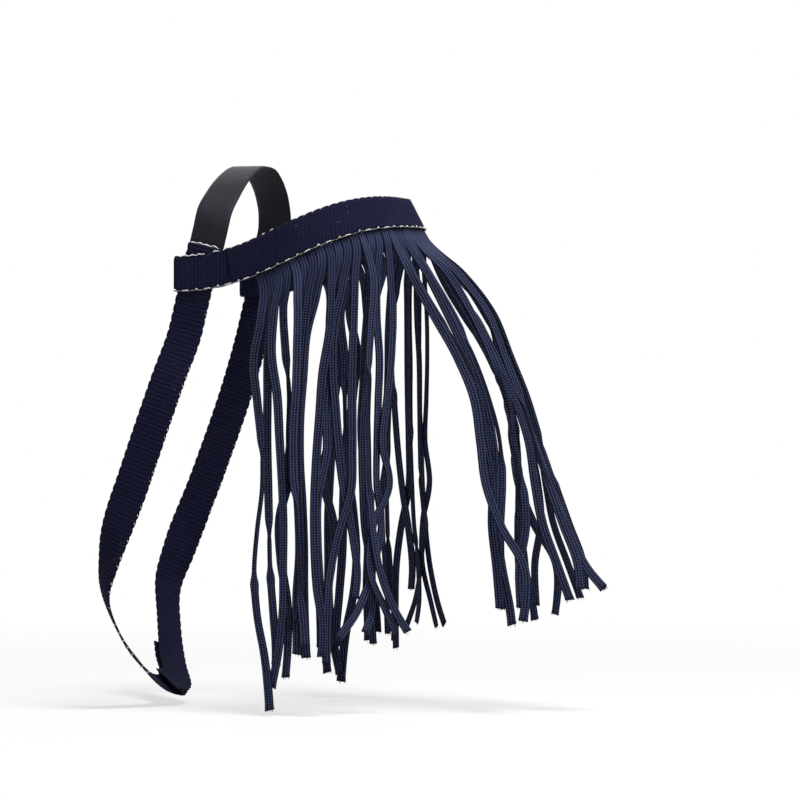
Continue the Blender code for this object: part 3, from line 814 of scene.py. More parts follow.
heap.rings(spread(tape_run, rises[None], -depth), weave)
settled(heap, "heading_tape", TAPE.finish, "browband", ["fringe_heading_tape"])

# %% [markdown]
# ## The head strap
#
# A broad elastic goes over the poll, behind the ears, and ends inside the loops. There it is
# sewn to the webbing that goes on under the throat. The webbing's top end is turned under, and
# its fold shows above the loop. Both follow the same leaning line through the loops.

# %% The head strap's lines
LINE_STEP = 0.004  # from point to point of the lines, before they are evened out
THROAT_ROUTE = [
    (-0.037, -0.087, -0.155),
    (-0.061, -0.087, -0.222),
    (-0.083, -0.081, -0.282),
    (-0.089, -0.074, -0.306),
    (-0.084, -0.060, -0.335),
    (-0.074, -0.038, -0.360),
    (-0.062, -0.012, -0.373),
    (-0.060, 0.0, -0.375),
]


def strap_point(along, out):
    """A place in the right loop: along the strap from the loop's middle, and out of the pack."""
    middle = Vector((STRAP_X, -LOOP_HALF - out, loop_height(STRAP_X)))
    return middle + STRAP_AXIS * along


def strap_wides(points):
    """The rough way across the head strap: square to it at the loops, tilted at the throat."""
    made = []
    for point in points:
        low = ease((point.z + LOOP_DROP + 2 * STRAIGHT) / (THROAT_ROUTE[-1][2] / 2))
        high = ease((point.z + LOOP_DROP - STRAIGHT) / (LOOP_DROP - STRAIGHT))
        tilt = STRAP_LEAN * (1 - low - high) + THROAT_TILT * low
        beside = ease(abs(point.y) / LOOP_HALF * 1.3)
        yaw = THROAT_YAW * beside * ease((point.z + 3 * LOOP_DROP) / (-LOOP_DROP * 1.1))
        wide = Vector((math.cos(tilt), 0, -math.sin(tilt))) * math.cos(yaw)
        wide.y = math.copysign(math.sin(yaw), point.y)
        made.append(wide)
    return made


def crown_line():
    """Over the poll from the right loop to the left one, with a flat stretch at the top."""
    end = strap_point(-ELASTIC_BELOW, ELASTIC_OUT)
    straight = strap_point(STRAIGHT, ELASTIC_OUT)
    side, drop = -straight.y, -straight.z
    bend = [
        Vector((0.80 * straight.x, -0.965 * side, -0.78 * drop)),
        Vector((0.45 * straight.x, -0.79 * side, -0.47 * drop)),
        Vector((0.15 * straight.x, -0.46 * side, -0.14 * drop)),
    ]
    flat = [Vector((0, y * CROWN_FLAT, ELASTIC_THICK / 2)) for y in (-0.5, -0.3)]
    rise = [end, strap_point(STRAIGHT * 0.9, ELASTIC_OUT), straight]
    whole = doubled(through([*rise, *bend, *flat], LINE_STEP))
    return stations(whole, strap_wides(whole))


def throat_line():
    """From turned end to turned end, by way of the throat, and where its middle is."""
    radius = FOLD_PITCH / 2
    turned_out = WEB_OUT - FOLD_PITCH
    middle = strap_point(PEEK, turned_out + radius)
    turned = [strap_point(PEEK - TURNED * k, turned_out) for k in (1, 0.75, 0.5, 0.25)]
    turned += [
        middle + Y_AXIS * radius * math.cos(turn) + STRAP_AXIS * radius * math.sin(turn)
        for turn in np.radians(np.linspace(0, 180, 13))
    ]
    straight = [strap_point(k * STRAIGHT, WEB_OUT) for k in (0.4, 0, -0.5, -1, -1.2)]
    half = turned + through([*straight, *[Vector(p) for p in THROAT_ROUTE]], LINE_STEP)
    whole = half + [mirrored(point) for point in reversed(half[:-1])]
    line = stations(whole, strap_wides(whole))
    return line, distances(line)[len(half) - 1]


crown = crown_line()
throat, THROAT_MIDDLE = throat_line()
print("elastic", round(distances(crown)[-1] / MM), "mm, throat", round(2 * THROAT_MIDDLE / MM))

# %% [markdown]
# ## Straps, tab and tapes
#
# The right throat strap runs on as the closure's tab: one length of webbing, whose free end
# peels off. It bends where it leaves the left strap; its mesh, like the hook tape's, is baked
# in place and hangs on no body. The hook tape is sewn inside the tab, the loop tape outside the
# left strap.

# %% Make the head strap
def lap_lift(run):
    """How far the right strap stands out over the left one, row by row."""
    far = np.arange(len(run.at)) * WEBBING.row - THROAT_MIDDLE
    return np.array([LAP * ease((s - LEFT_END + LAP_EASE + SEWN_GAP) / LAP_EASE) for s in far])


def throat_run(cloth, start, end, lift=0.0):
    """A stretch of the throat line, from and to a distance from its middle."""
    run = evened(throat, cloth.row, THROAT_MIDDLE + start, THROAT_MIDDLE + end)
    return shifted(run, lift=lift)


hinge_run = evened(throat, 0.001, THROAT_MIDDLE + TAB_START, THROAT_MIDDLE + TAB_START + 0.014)
hinge_run = shifted(hinge_run, lift=LAP + WEB_THICK / 2)

strap("crown_elastic_strap", evened(crown, ELASTIC.row), ELASTIC, "head_strap", ["crown_elastic"])
left_run = evened(throat, WEBBING.row, THROAT_MIDDLE + LEFT_END)
strap("throat_strap_left_webbing", left_run, WEBBING, "head_strap", ["throat_strap_left"], 0.3)
right_run = evened(throat, WEBBING.row, 0, THROAT_MIDDLE + TAB_END)
right_run = shifted(right_run, lift=lap_lift(right_run))
right_nodes = ["throat_strap_right", "closure_tab"]
strap("throat_strap_right_and_tab", right_run, WEBBING, "closure_flap", right_nodes, 0.3)

tape_out = WEB_THICK / 2 + LAP_GAP + HOOK_THICK / 2
hook_run = throat_run(HOOK, HOOK_START, HOOK_END, LAP - tape_out)
strap("hook_tape", hook_run, HOOK, "closure_flap", ["closure_hook_tape"])
loop_run = throat_run(LOOP, LOOP_TAPE_START, LOOP_TAPE_END, tape_out)
strap("loop_tape", loop_run, LOOP, "head_strap", ["closure_loop_tape"])

# %% [markdown]
# ## Dark stitching
#
# The seams are sewn with thread as dark as the webbing. Each stitch is a short thread that
# dips into the cloth at both ends. A line of dashes in the texture would look printed, because
# it would never cast the small shadow that a stitch has.

# %% Sew the seams
THREAD = 0.00022  # the usual radius of a thread
FINE, COARSE = 0.0005, 0.001  # from row to row of the lines that threads follow
STITCH_GAP, STITCH_SINK = 0.0009, 0.0003  # between two stitches, and down into the cloth
SEAM_SLOPE = 0.17  # the loop's seam leans back this far for each step up
SEAM_THREAD = 0.00042  # and is sewn with thicker thread, of this radius


def stitch(heap, start, end, out, radius=THREAD):
    """One stitch between two places on a face, proud in its middle."""
    shares = np.array([0, 0.18, 0.5, 0.82, 1])
    lift = np.array([-STITCH_SINK, radius * 0.5, radius * 0.9, radius * 0.5, -STITCH_SINK])
    path = start + (end - start) * shares[:, None] + out * lift[:, None]
    heap.tube(path, radius * np.array([0.7, 1, 1, 1, 0.7]), sides=5)


def seam(heap, run, rise, lift, length):
    """A row of stitches along a run, at a rise across it and a lift out of it."""
    far, line = travelled(run.at), shifted(run, rise, lift).at
    where = STITCH_GAP / 2
    while where + length < far[-1]:
        outward = sampled(where, far, run.out) * (1 if lift >= 0 else -1)
        start, end = (sampled(place, far, line) for place in (where, where + length))
        stitch(heap, start, end, outward)
        where += length + STITCH_GAP


heap = Heap(0.6)
band_face = evened(band, FINE, 0, 0.06)
nearest = int(np.argmin(np.abs(band_face.at[:, 0] - SEAM_X)))
middle, up, out, along = (table[nearest] for table in band_face)
slope = up - along * SEAM_SLOPE
for side in (1, -1):
    mirror = np.array([1, side, 1])
    for level in np.arange(-0.44 * WEB_WIDTH, 0.44 * WEB_WIDTH, 0.0028):
        start, end = (middle + slope * k + out * WEB_THICK / 2 for k in (level, level + 0.0021))
        stitch(heap, start * mirror, end * mirror, out * mirror, SEAM_THREAD)
tape_face = -(WEB_THICK / 2 + TAPE_THICK * 0.6 + 0.00025)
edge_rows = evened(band_edge, COARSE, tape_start, tape_end)
seam(heap, edge_rows, 0.8 * TAPE_WIDTH, tape_face, 0.0024)
settled(heap, "browband_stitches", "dark thread", "browband")

# %% [markdown]
# The tab's seams hold the hook tape: two along it and one across each end.

# %% Sew the closure
heap = Heap(0.6)
tab_face = evened(throat, COARSE, THROAT_MIDDLE + HOOK_START, THROAT_MIDDLE + HOOK_END)
tab_face = shifted(tab_face, lift=LAP + WEB_THICK / 2 + 0.00005)
for rise in (-HOOK_WIDTH / 2 + 0.0012, HOOK_WIDTH / 2 - 0.0012):
    seam(heap, tab_face, rise, 0.0, 0.0022)
for row in (1, -2):
    low, high = (
        tab_face.at[row] + tab_face.wide[row] * k * (HOOK_WIDTH / 2 - 0.002) for k in (-1, 1)
    )
    for share in np.arange(0, 0.95, 0.16):
        start, end = (low + (high - low) * s for s in (share, share + 0.11))
        stitch(heap, start, end, tab_face.out[row])
settled(heap, "tab_stitches", "dark thread", "closure_flap")

# %% [markdown]
# ## The catch thread
#
# A pale thread holds the cords along the lower edge. It rises to a small peak at each lock
# stitch and has a doubled bar between two of them. It is thin, dusty and a little frayed, and
# it is the only pale line on the piece, so it gets real thickness and a slight wander.

# %% Run the catch thread
LOCK_PITCH, LOCK_HEIGHT, LOCK_WIDTH = 0.0161, 0.00105, 0.040  # the width is a share of the pitch
FIRST_LOCK, FIRST_BAR, BAR_HALF = 0.38, 0.58, 0.0024
THREAD_OUT = WEB_THICK / 2 + 0.00030
FUZZ_FIBRES, FUZZ_REACH = 40, 0.0016
OVERCAST_SHARE, OVERCAST_THREAD = 0.6, 0.00036  # how many notches hold a bit, and its radius
band_middle = distances(band)[-1] / 2
whole_edge = moved(band_line, rise=-WEB_WIDTH / 2)
FOLD_START = distances(whole_edge)[len(right_loop) - 9]


def row_step(run):
    return np.linalg.norm(run.at[1] - run.at[0])


def placed(run, where, rise, lift):
    """A place on a run, at a distance from its start."""
    index = int(np.clip(round(where / row_step(run)), 0, len(run.at) - 1))
    return run.at[index] + run.wide[index] * rise + run.out[index] * lift


def catch_thread(heap, run, rng):
    """The lower edge's thread: a wavering line, its peaks and its bars."""
    reach = FINE * (len(run.at) - 1)
    where = np.arange(0, reach, 0.0006)
    phase = (where / LOCK_PITCH + FIRST_LOCK) % 1.0
    peak = np.exp(-(((phase - 0.5) / LOCK_WIDTH) ** 2)) * LOCK_HEIGHT
    waver = 0.00010 * np.sin(where / 0.0021) + 0.00012 * np.sin(where / 0.0057 + 1)
    rise = 0.0001 + peak + waver
    path = [placed(run, w, r, THREAD_OUT) for w, r in zip(where, rise)]
    thick = THREAD * (1 + 0.25 * np.sin(where / 0.00055)) + peak * 0.34
    dusty = 0.16 + 0.16 * np.sin(where / 0.0031 + 2)
    heap.tube(path, thick, wear_and_shade=dusty + peak * 900)
    for lock in np.arange(FIRST_BAR * LOCK_PITCH, reach - 0.001, LOCK_PITCH):
        middle = lock + rng.uniform(-0.001, 0.001)
        ends = np.linspace(middle - BAR_HALF, min(middle + BAR_HALF, reach), 5)
        lifts = np.array([0.00005, 0.0004, 0.00025, 0.00045, 0.0]) + rng.uniform(0, 0.0001)
        path = [placed(run, w, r, THREAD_OUT + THREAD) for w, r in zip(ends, lifts)]
        heap.tube(path, np.array([1, 2, 1.6, 2, 1]) * THREAD, wear_and_shade=1.0)


def fuzz(heap, run, rng):
    """Short fibres that stand off a thread."""
    reach = row_step(run) * (len(run.at) - 1)
    for _ in range(FUZZ_FIBRES):
        where = rng.uniform(0.012, reach)
        root = placed(run, where, 0.0, THREAD_OUT)
        aside = where + rng.uniform(-FUZZ_REACH, FUZZ_REACH)
        tip = placed(run, aside, rng.uniform(-1, 1) * 0.0012,
                     THREAD_OUT + rng.uniform(0.0002, 0.0007))
        bend = (root + tip) / 2 + rng.uniform(-0.0003, 0.0003)
        heap.tube([root, bend, tip], [0.0001, 0.00008, 0.00004], 4, wear_and_shade=0.2)


def overcast(heap, run, rng):
    """Pale bits of thread that wrap a strap's edge, each in a notch between two scallops."""
    notch = 2 * RIB_ROWS * WEBBING.row
    for where in np.arange(0, row_step(run) * (len(run.at) - 2), notch):
        if rng.random() > OVERCAST_SHARE:
            continue
        reach = rng.uniform(0.0005, 0.0013)
        offsets = ((-reach, -0.0008, 0.0010), (-reach * 0.3, -0.0001, 0.0008),
                   (reach * 0.4, 0.0002, -0.0001), (reach, -0.0006, -0.0009))
        path = [placed(run, where + a, WEB_WIDTH / 2 + b, c) for a, b, c in offsets]
        heap.tube(path, np.array([0.6, 1, 1, 0.6]) * OVERCAST_THREAD, wear_and_shade=0.8)


rng = random.Random(5)
SIDES = {"right": 1, "left": -1}
for title, side in SIDES.items():
    heap = Heap(0.5, side)
    lower = evened(whole_edge, FINE, FOLD_START, distances(whole_edge)[-1] / 2)
    catch_thread(heap, lower, rng)
    fuzz(heap, lower, rng)
    overcast(heap, evened(band, FINE, 0.030, band_middle), rng)
    settled(heap, f"catch_thread_{title}", "pale thread", "browband")

# %% [markdown]
# ## Pale thread at the loops
#
# The webbing's cut ends were caught with the same pale thread. A line of it lies on the fold
# that shows above each loop, and short lengths of it show along the loop's top edge and down
# the throat strap's front edge. Where the lower edge has rubbed, in front of the seam, a few
# fibres have worked loose.

# %% Lay the pale thread at the loops
STRAP_SQUARE = Vector((math.cos(STRAP_LEAN), 0, -math.sin(STRAP_LEAN)))


def laid(heap, points, radius, waves):
    """A thread through some points, with a slight wave."""
    line = np.array(through([Vector(p) for p in points], 0.0008))
    steps = np.arange(len(line))
    line[:, 2] += waves * np.sin(steps * 0.9)
    heap.tube(line, radius * (1 + 0.2 * np.sin(steps * 0.9)), wear_and_shade=1.0)


crest = strap_point(PEEK + FOLD_PITCH / 2 + WEB_THICK / 2, WEB_OUT - FOLD_PITCH / 4)
for title, side in SIDES.items():
    heap = Heap(0.7, side)
    rises = ((-0.0112, -0.0004), (-0.004, 0.0004), (0.003, 0.0001), (0.0085, 0.0003),
             (0.0119, -0.0016))
    fold = [crest + STRAP_SQUARE * a + STRAP_AXIS * b for a, b in rises]
    laid(heap, fold, 2 * THREAD, 0.0002)
    for _ in range(5):
        root = crest + STRAP_SQUARE * rng.uniform(0.0095, 0.0118) - STRAP_AXIS * 0.0008
        lean = Vector((rng.uniform(0.0005, 0.0022), -0.0005, rng.uniform(-0.0014, 0.0012)))
        path = [root, root + lean * 0.6, root + lean + Vector((0, 0, rng.uniform(-1, 1) * 0.0004))]
        heap.tube(path, [THREAD, 0.00018, 0.0001], 4, wear_and_shade=0.9)
    overcast(heap, evened(throat, FINE, TURNED + 0.030, THROAT_MIDDLE - 0.04), rng)
    settled(heap, f"fold_thread_{title}", "pale thread", "head_strap")

    heap = Heap(0.7, side)
    top = moved(band, rise=WEB_WIDTH / 2 + 0.0002, lift=WEB_THICK / 2)
    for start, end in ((-0.0270, -0.0085), (-0.0048, 0.0012), (0.0040, 0.0080)):
        stretch = [s.at for s in top[: len(top) // 2] if start <= s.at.x <= end]
        laid(heap, stretch, 0.00040, 0.00035)
    for _ in range(9):
        x = rng.uniform(0.007, 0.0145)
        low = min(band_edge[: len(band_edge) // 2], key=lambda s: abs(s.at.x - x)).at
        root = Vector((x, low.y - 0.0010, low.z + rng.uniform(-0.0002, 0.0006)))
        lean = Vector((rng.uniform(-0.002, 0.002), -0.0007, rng.uniform(-0.0026, 0.0004)))
        path = [root, root + lean * 0.5, root + lean + Vector((0.0005, 0, 0.0003))]
        heap.tube(path, [0.00013, 0.0001, 0.00005], 4, wear_and_shade=0.3)
    settled(heap, f"loop_thread_{title}", "pale thread", "browband")

# %% [markdown]
# ## Lint
#
# Woven nylon picks up hair and dust. Four pale fibres on each side of each strap, each one a
# thin curl that lies on the face, are enough to break up the large dark areas.

# %% Drop some lint
LINT_FIBRES, LINT_LIFT = 4, 0.0011


def lint(heap, run, rng):
    """Thin pale curls on the face of a strap."""
    for _ in range(LINT_FIBRES):
        index = rng.randrange(10, len(run.at) - 10)
        rise = rng.uniform(-0.010, 0.010)
        at, wide, out, along = (table[index] for table in run)
        turn, size = rng.uniform(0, 6.28), rng.uniform(0.0007, 0.0019)
        path = []
        for k in range(4):
            angle, grown = turn + k * 0.8, 0.6 + 0.2 * k
            curl = along * size * math.cos(angle) * grown
            path.append(
                at + wide * rise + out * LINT_LIFT + curl + wide * size * math.sin(angle) * grown
            )
        heap.tube(path, [0.00005, 0.00007, 0.00007, 0.00004], 4)


for body, line, start, end in (
    ("browband", band, 0.02, 2 * band_middle - 0.02),
    ("head_strap", throat, TURNED + 0.03, THROAT_MIDDLE - 0.06),
):
    for title, side in SIDES.items():
        heap = Heap(0.7, side)
        lint(heap, evened(line, COARSE, start, end), rng)
        settled(heap, f"{body}_lint_{title}", "pale thread", body)

# %% [markdown]
# ## Finishes as expressions
#
# A cloth's colour and relief are sums of small patterns. Wiring each Math node by hand hides
# the idea, so a wire is wrapped in a class that knows plus, minus and times. Then a pattern
# reads as a line of arithmetic. Colours and vectors still go through Mix and Vector Math.


# %% Wires that can be added and multiplied
class Wire:
    """An output socket. Arithmetic on it adds the Math nodes."""

    def __init__(self, finish, socket):
        self.finish, self.socket = finish, socket

    def maths(self, operation, *values):
        return self.finish.node("ShaderNodeMath", {"operation": operation}, values)

    def __add__(self, other):
        return self.maths("ADD", self, other)

    def __sub__(self, other):
        return self.maths("SUBTRACT", self, other)

    def __rsub__(self, other):
        return self.maths("SUBTRACT", other, self)

    def __mul__(self, other):
        return self.maths("MULTIPLY", self, other)

    __radd__, __rmul__ = __add__, __mul__

    def cosine(self):
        return self.maths("COSINE", self)

    def above(self, floor, ceiling):
        """0 at the floor, 1 at the ceiling, smooth between."""
        settings = {"interpolation_type": "SMOOTHSTEP"}
        return self.finish.node("ShaderNodeMapRange", settings, {0: self, 1: floor, 2: ceiling})


class Finish:
    """A material, or the world, whose nodes are made by one method."""

    def __init__(self, name, kept_in=bpy.data.materials, kind="Principled BSDF", **constants):
        self.material = kept_in.new(name)
        self.material.use_nodes = True
        self.tree = self.material.node_tree
        self.shader = self.tree.nodes[kind]
        for title, value in constants.items():
            self.shader.inputs[title.replace("_", " ")].default_value = value

    def node(self, kind, settings, sockets, output=0):
        """A node of a type: its settings are set first, then its sockets' values or wires."""
        made = self.tree.nodes.new(kind)
        for title, value in settings.items():
            setattr(made, title, value)
        pairs = sockets.items() if isinstance(sockets, dict) else enumerate(sockets)
        for key, value in pairs:
            self.plug(value, made.inputs[key])
        return Wire(self, made.outputs[output])

    def plug(self, value, socket):
        if isinstance(value, Wire):
            self.tree.links.new(value.socket, socket)
        else:
            socket.default_value = value

    def mix(self, share, first, second):
        """A colour between two colours."""
        colours = [c if isinstance(c, Wire) else (*c, 1) for c in (first, second)]
        sockets = {0: share, 6: colours[0], 7: colours[1]}
        return self.node("ShaderNodeMix", {"data_type": "RGBA"}, sockets, 2)

    def weave(self):
        """Millimetres across and along the cloth."""
        place = self.node("ShaderNodeUVMap", {"uv_map": "weave"}, {})
        across_it = self.node("ShaderNodeSeparateXYZ", {}, [place])
        along_it = Wire(self, across_it.socket.node.outputs[1])
        return place, across_it, along_it

    def noted(self, title):
        """A number that the mesh carries."""
        return self.node("ShaderNodeAttribute", {"attribute_name": title}, {}, 2)

    def noise(self, place, scale, shift=0.0, detail=2.0):
        sockets = {"Vector": place, "W": shift, "Scale": scale, "Detail": detail}
        return self.node("ShaderNodeTexNoise", {"noise_dimensions": "4D"}, sockets)

    def fibres(self, place, detail=1.0):
        """Noise that runs one way only, such as from yarn to yarn."""
        sockets = {"W": place, "Detail": detail}
        return self.node("ShaderNodeTexNoise", {"noise_dimensions": "1D"}, sockets)

    def bump(self, height, strength, distance):
        sockets = {"Height": height, "Strength": strength, "Distance": distance}
        return self.node("ShaderNodeBump", {}, sockets)

    def two_tone(self, height, span, dark, light, *relief):
        """Wears a pattern: dark where it is low, light where it is high, with its relief."""
        colour = self.mix(height.above(*span), dark, light)
        self.wear_it(Base_Color=colour, Normal=self.bump(height, *relief))

    def wear_it(self, **inputs):
        """Wires the shader's inputs and puts the finish on the pieces that wait for it."""
        for title, value in inputs.items():
            self.plug(value, self.shader.inputs[title.replace("_", " ")])
        pieces = dressed[self.material.name]
        for piece in pieces:
            piece.data.materials.append(self.material)
        print(self.material.name, "on", len(pieces), "pieces")



def woven_wires(name, **constants):
    """A finish, and the wires of its place in the weave: whole, across and along."""
    finish = Finish(name, **constants)
    return finish, *finish.weave()


# %% [markdown]
# ## The navy webbing
#
# The yarns are dyed dark navy, and the ones that stand proud are painted a shade lighter and
# bluer: partly a painted highlight where they catch the light, partly the rubbing. The colour
# follows the same crossings as the mesh: the product of two cosines is 1 where a yarn stands up
# and -1 where it dives. The grooves across the strap are painted darker as shade, no two ribs
# are quite alike, and fine slanted lines are the twist of the yarn. A coarser, uneven grid of
# light and dark is where the yarns bunch.

# %% Dye the webbing
def crossings(across_it, along_it, column, row):
    """1 where a yarn stands up, -1 where it dives."""
    turn = math.pi * MM
    return (across_it * (turn / column)).cosine() * (along_it * (turn / row)).cosine()


def woven_finish(cloth, dark, light, faded, roughness, grooved, **constants):
    """A woven strap's finish: dark yarns, painted lighter where they stand up, patchy fading,
    painted shade in the grooves.
    """
    finish, place, across_it, along_it = woven_wires(cloth.finish, **constants)
    tint = finish.noted("tint") * 9.0
    raised = crossings(across_it, along_it, cloth.column, cloth.row)
    twist = (across_it * 9.0 + along_it * 17.0).cosine()
    yarn = finish.noise(place, 1.1, tint)
    patch = finish.noise(place, 0.07, tint, 3.0)
    rows = (across_it * (2 * math.pi * MM / (1.6 * cloth.column)) + yarn * 3.5).cosine()
    picks = (along_it * (2 * math.pi * MM / (3 * cloth.row)) + yarn * 3.5).cosine()
    brick = rows * 0.5 + picks * 0.5
    rib_turn = 2 * math.pi * MM / (RIB_ROWS * cloth.row)
    dotted = 0.62 + 0.38 * (across_it * (math.pi * MM / cloth.column)).cosine()
    # How strong the grooves' painted shade is, weaker on the tighter browband.
    slack = grooved * (1 - finish.noted("wear_and_shade") * 0.7)
    groove = (along_it * rib_turn + yarn * 0.7).cosine().above(0.35, 1.0) * dotted * slack
    rib = finish.fibres(along_it * 0.55)
    # Painted highlight, with some rubbing: raised yarns are lighter.
    shade = (0.35 + raised.above(-0.7, 0.9) * 0.65) * (yarn * 1.7 + rib * 1.6 - 1.05)
    shade = shade * (1.0 + brick * 0.7)
    colour = finish.mix(shade, dark, light)
    colour = finish.mix(patch.above(0.45, 0.75) * 0.5, colour, faded)
    # Painted shade: the grooves across the strap are darkened.
    colour = finish.mix(groove * 0.7, colour, [value * 0.35 for value in dark])
    rough = roughness + yarn * 0.12
    height = raised * 0.35 + brick * 0.40 + twist * 0.12 + yarn * 0.5 - groove * 0.6
    relief = finish.bump(height, 0.8, 0.0003)
    finish.wear_it(Base_Color=colour, Roughness=rough, Normal=relief)


woven_finish(
    WEBBING, dark=(0.0032, 0.0033, 0.0130), light=(0.0205, 0.0225, 0.0590),
    faded=(0.0165, 0.0140, 0.0370), roughness=0.72, grooved=1.0, Specular_IOR_Level=0.04,
)
woven_finish(
    TAPE, dark=(0.0040, 0.0040, 0.0090), light=(0.0130, 0.0130, 0.0260),
    faded=(0.0120, 0.0110, 0.0200), roughness=0.80, grooved=0.0, Specular_IOR_Level=0.10,
)

# %% [markdown]
# ## The plaited cord
#
# The cord is a lighter slate blue than the webbing, of smoother fibre, so it has a soft shine
# along its ridges. The valleys between the ridges are painted dark as shade, more so near the
# head, and the pits between the strands are painted nearly black as shade; the pits show from
# about 20 mm down, where the cord is no longer drawn tight. Each leg has its own tint, because
# the dye takes a little differently, and its cut end is darker. Its top, just below the
# browband, is painted darker as shade.

# %% Dye the cord
finish, place, across_it, along_it = woven_wires("slate cord", Specular_IOR_Level=0.06)
tint, wear_and_shade = finish.noted("tint"), finish.noted("wear_and_shade")
ridge = (across_it * (2 * math.pi * MM / PLAIT_COLUMN)).cosine()
repeat = along_it * (math.pi * MM / PLAIT_ROW)
dots = (repeat + across_it * (math.pi * MM / PLAIT_COLUMN) - math.pi / 2).cosine()
strand = (repeat + ridge * 1.3).cosine()
fibre = finish.noise(place, 2.2, tint * 40.0)
patch = finish.noise(place, 0.03, tint * 40.0)
loose = along_it.above(18, 48)
streak = finish.fibres(across_it * 0.9 + tint * 90.0)
shade = tint * 0.35 + streak * 0.8 + fibre * 0.30 + strand * loose * 0.46 - 0.24
colour = finish.mix(shade, (0.0080, 0.0100, 0.0290), (0.0640, 0.0800, 0.1620))
colour = finish.mix(patch.above(0.45, 0.75) * 0.35, colour, (0.0330, 0.0280, 0.0720))
# Painted shade: the valleys between the ridges are darkened, more near the head.
valley = (0 - ridge).above(-0.55, 0.65)
colour = finish.mix(valley * (0.72 - loose * 0.27), colour, (0.0040, 0.0048, 0.0150))
# Painted shade: the pits in the valleys are darkened nearly black.
pits = dots.above(-0.80, 0.05) * loose
colour = finish.mix(valley * pits, colour, (0.0008, 0.0007, 0.0035))
# The dark cut end, and painted shade on the cord just below the browband.
colour = finish.mix(wear_and_shade * 0.8, colour, (0.0040, 0.0040, 0.0100))
rough = 0.50 + fibre * 0.15
relief = finish.bump(strand * loose * 0.7 + fibre * 0.35 + ridge * 0.2, 0.8, 0.0003)
finish.wear_it(Base_Color=colour, Roughness=rough, Normal=relief)

# %% [markdown]
# ## The elastic
#
# The crown is a knitted elastic: close ribs run along it, each one a covered rubber thread.
# It has gone greyer than the webbing and has a faint shine where it is stretched over the
# poll. Fine rows across the ribs are the knitted yarn.

# %% Finish the elastic
finish, place, across_it, along_it = woven_wires(
    "black elastic", Specular_IOR_Level=0.10, Sheen_Weight=0.02, Sheen_Roughness=0.3
)
ribs = (across_it * (math.pi * MM / ELASTIC.column)).cosine()
rows = (along_it * 7.4 + ribs * 0.8).cosine()
fluff = finish.noise(place, 1.3)
patch = finish.noise(place, 0.05, 0.0, 3.0)
crease = (along_it * 0.35 + patch * 6.0).cosine()
colour = finish.mix(ribs.above(-0.8, 1.0) * (0.4 + fluff * 0.6), (0.0115, 0.0115, 0.0165),
                    (0.0155, 0.0157, 0.0230))
colour = finish.mix(patch.above(0.45, 0.8) * 0.5, colour, (0.0220, 0.0218, 0.0300))
rough = 0.48 + fluff * 0.2
height = ribs * 0.10 + rows * 0.15 + fluff * 0.3 + crease.above(0.9, 1.0) * 0.5
finish.wear_it(Base_Color=colour, Roughness=rough, Normal=finish.bump(height, 0.45, 0.0002))

# %% [markdown]
# ## Hook, loop and thread
#
# Hook tape is a field of tiny stiff hooks in rows, and loop tape is a matted pile. Both are
# black and dull. The dark thread matches the webbing. All three have two colours, dark where
# their pattern is low and light where it is high, so one method dresses them.

# %% Finish the closure and the dark thread
finish, _, across_it, along_it = woven_wires(
    "hook tape", Roughness=0.6, Specular_IOR_Level=0.25
)
hooks = (across_it * 5.2).cosine() * (along_it * 5.2).cosine()
finish.two_tone(hooks, (0.0, 1.0), (0.006, 0.006, 0.007), (0.030, 0.030, 0.032), 0.9, 0.0006)

finish, place, _, _ = woven_wires(
    "loop tape", Roughness=0.95, Specular_IOR_Level=0.10, Sheen_Weight=0.05
)
pile = finish.noise(place, 2.8, 0.0, 4.0)
finish.two_tone(pile, (0.3, 0.7), (0.007, 0.007, 0.008), (0.028, 0.028, 0.030), 0.9, 0.0006)

finish, _, across_it, along_it = woven_wires(
    "dark thread", Roughness=0.7, Specular_IOR_Level=0.03
)
ply = (across_it * 6.0 + along_it * 9.0).cosine()
finish.two_tone(
    ply, (-1.0, 1.0), (0.0006, 0.0006, 0.0016), (0.0030, 0.0030, 0.0080), 0.5, 0.0001
)

# %% [markdown]
# The pale thread was white once and has gone the colour of dust, which comes and goes along
# it. It is brightest where it stands up and the dust rubs off, which the mesh notes as worn.

# %% Finish the pale thread
finish, place, across_it, along_it = woven_wires(
    "pale thread", Roughness=0.85, Specular_IOR_Level=0.20
)
wear_and_shade = finish.noted("wear_and_shade")
strands = (across_it * 6.0 + along_it * 7.0).cosine()
dust = finish.noise(place, 0.35, 0.0, 3.0)
colour = finish.mix(dust.above(0.3, 0.7), (0.100, 0.094, 0.086), (0.330, 0.315, 0.295))
colour = finish.mix(wear_and_shade * 0.9, colour, (0.860, 0.840, 0.800))
colour = finish.mix(strands.above(0.2, 1.0) * 0.35, colour, (0.110, 0.095, 0.080))
finish.wear_it(Base_Color=colour, Normal=finish.bump(strands + dust, 0.6, 0.00015))

# %% [markdown]
# ## Light, floor and backdrop
#
# The light is a plain studio: a broad soft lamp above and in front, weaker ones beside the
# camera and behind, and an even pale surround. The surround shows pure white to the camera but
# lights the piece at a lower level. The floor goes over into that white with distance, so it
# has no horizon, and near the piece it keeps the shadow.

# %% Light the studio
def lamp(name, place, aim, size, power):
    """A square soft lamp that points at a place."""
    light = bpy.data.lights.new(name, "AREA")
    light.shape, light.size, light.energy = "SQUARE", size, power
    thing = added(name, light)
    thing.location = place
    thing.rotation_euler = (aim - place).to_track_quat("-Z", "Y").to_euler()


def seen_rays(finish):
    """1 for the rays that see a surface, rather than take its light."""
    node = finish.node("ShaderNodeLightPath", {}, {}).socket.node
    camera_ray, glossy, clear = (
        Wire(finish, node.outputs[f"Is {kind} Ray"])
        for kind in ("Camera", "Glossy", "Transmission")
    )
    return camera_ray.maths("MAXIMUM", camera_ray, glossy.maths("MAXIMUM", glossy, clear))


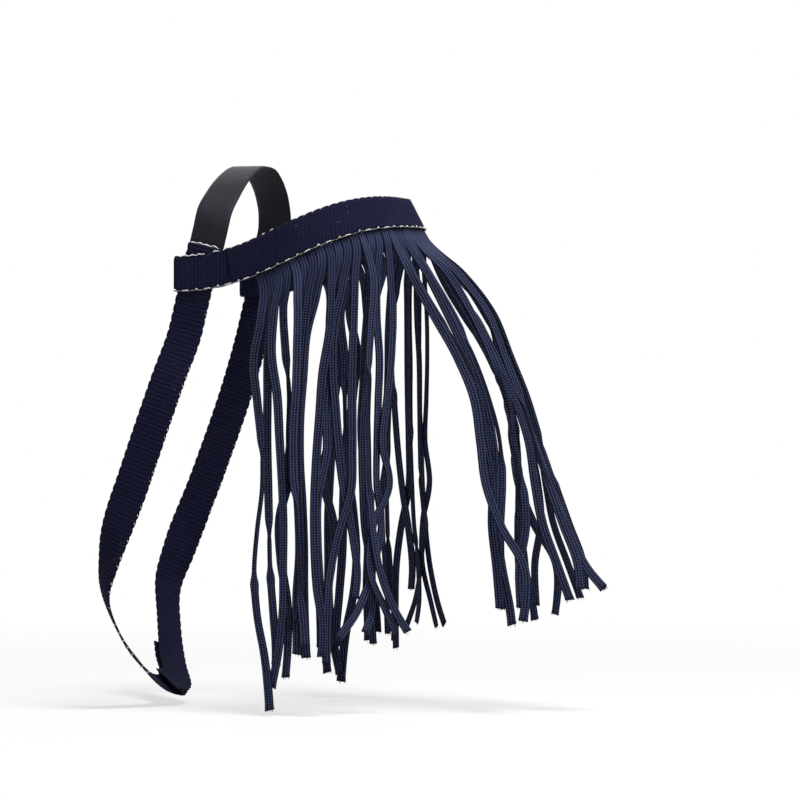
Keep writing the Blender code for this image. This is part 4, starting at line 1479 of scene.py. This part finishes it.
middle = (cad_low + cad_high) / 2
lamp("key", middle + Vector((0.7, -0.6, 2.2)), middle, 0.8, 78)
lamp("side", middle + Vector((0.9, -2.2, 0.2)), middle, 1.8, 4)
lamp("back", middle + Vector((-0.8, 2.0, 1.4)), middle, 1.6, 12)

studio = Finish("studio", bpy.data.worlds, "Background", Color=(1, 1, 1, 1), Strength=0.12)
white = studio.node("ShaderNodeBackground", {}, {"Color": (1, 1, 1, 1), "Strength": 1.0})
dim = Wire(studio, studio.shader.outputs[0])
shown = studio.node("ShaderNodeMixShader", {}, [seen_rays(studio), dim, white])
studio.plug(shown, studio.tree.nodes["World Output"].inputs["Surface"])
bpy.context.scene.world = studio.material
bpy.context.scene.view_settings.view_transform = "Standard"
print("lamps", sum(o.type == "LIGHT" for o in bpy.context.scene.objects))

# %% [markdown]
# The floor lies just under the lowest point, far wider than the view. It turns from matt to
# glowing with distance, and that is where the shadow ends.

# %% Lay the floor
FLOOR_REACH, FLOOR_DROP = 12.0, 0.004
FLOOR_WHITE = 0.62
square = bpy.data.meshes.new("floor")
level = cad_low.z - FLOOR_DROP
ways = ((-1, -1), (1, -1), (1, 1), (-1, 1))
square.from_pydata([(x * FLOOR_REACH, y * FLOOR_REACH, level) for x, y in ways], [], [(0, 1, 2, 3)])
floor = added("floor", square)
floor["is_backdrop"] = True
dressed["pale floor"].append(floor)
finish = Finish("pale floor", Roughness=0.9, Base_Color=(0.75, 0.75, 0.75, 1))
place = finish.node("ShaderNodeTexCoord", {}, {}, 3)
away = finish.node("ShaderNodeVectorMath", {"operation": "LENGTH"}, [place], 1)
glow = finish.node("ShaderNodeEmission", {}, {"Color": (1, 1, 1, 1), "Strength": 1.0})
share = seen_rays(finish) * (FLOOR_WHITE + (1 - FLOOR_WHITE) * away.above(0.45, 1.3))
matt = Wire(finish, finish.shader.outputs[0])
shown = finish.node("ShaderNodeMixShader", {}, [share, matt, glow])
finish.plug(shown, finish.tree.nodes["Material Output"].inputs["Surface"])
finish.wear_it()

# %% [markdown]
# ## The sizes
#
# Both boxes, the CAD model's and the dressed model's, are printed.

# %% Write the sizes
low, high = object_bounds()
sizes = {"cad": [list(cad_low), list(cad_high)], "visual": [list(low), list(high)]}
for title, (a, b) in sizes.items():
    print(title, [round(v / MM, 1) for v in (*a, *b)])
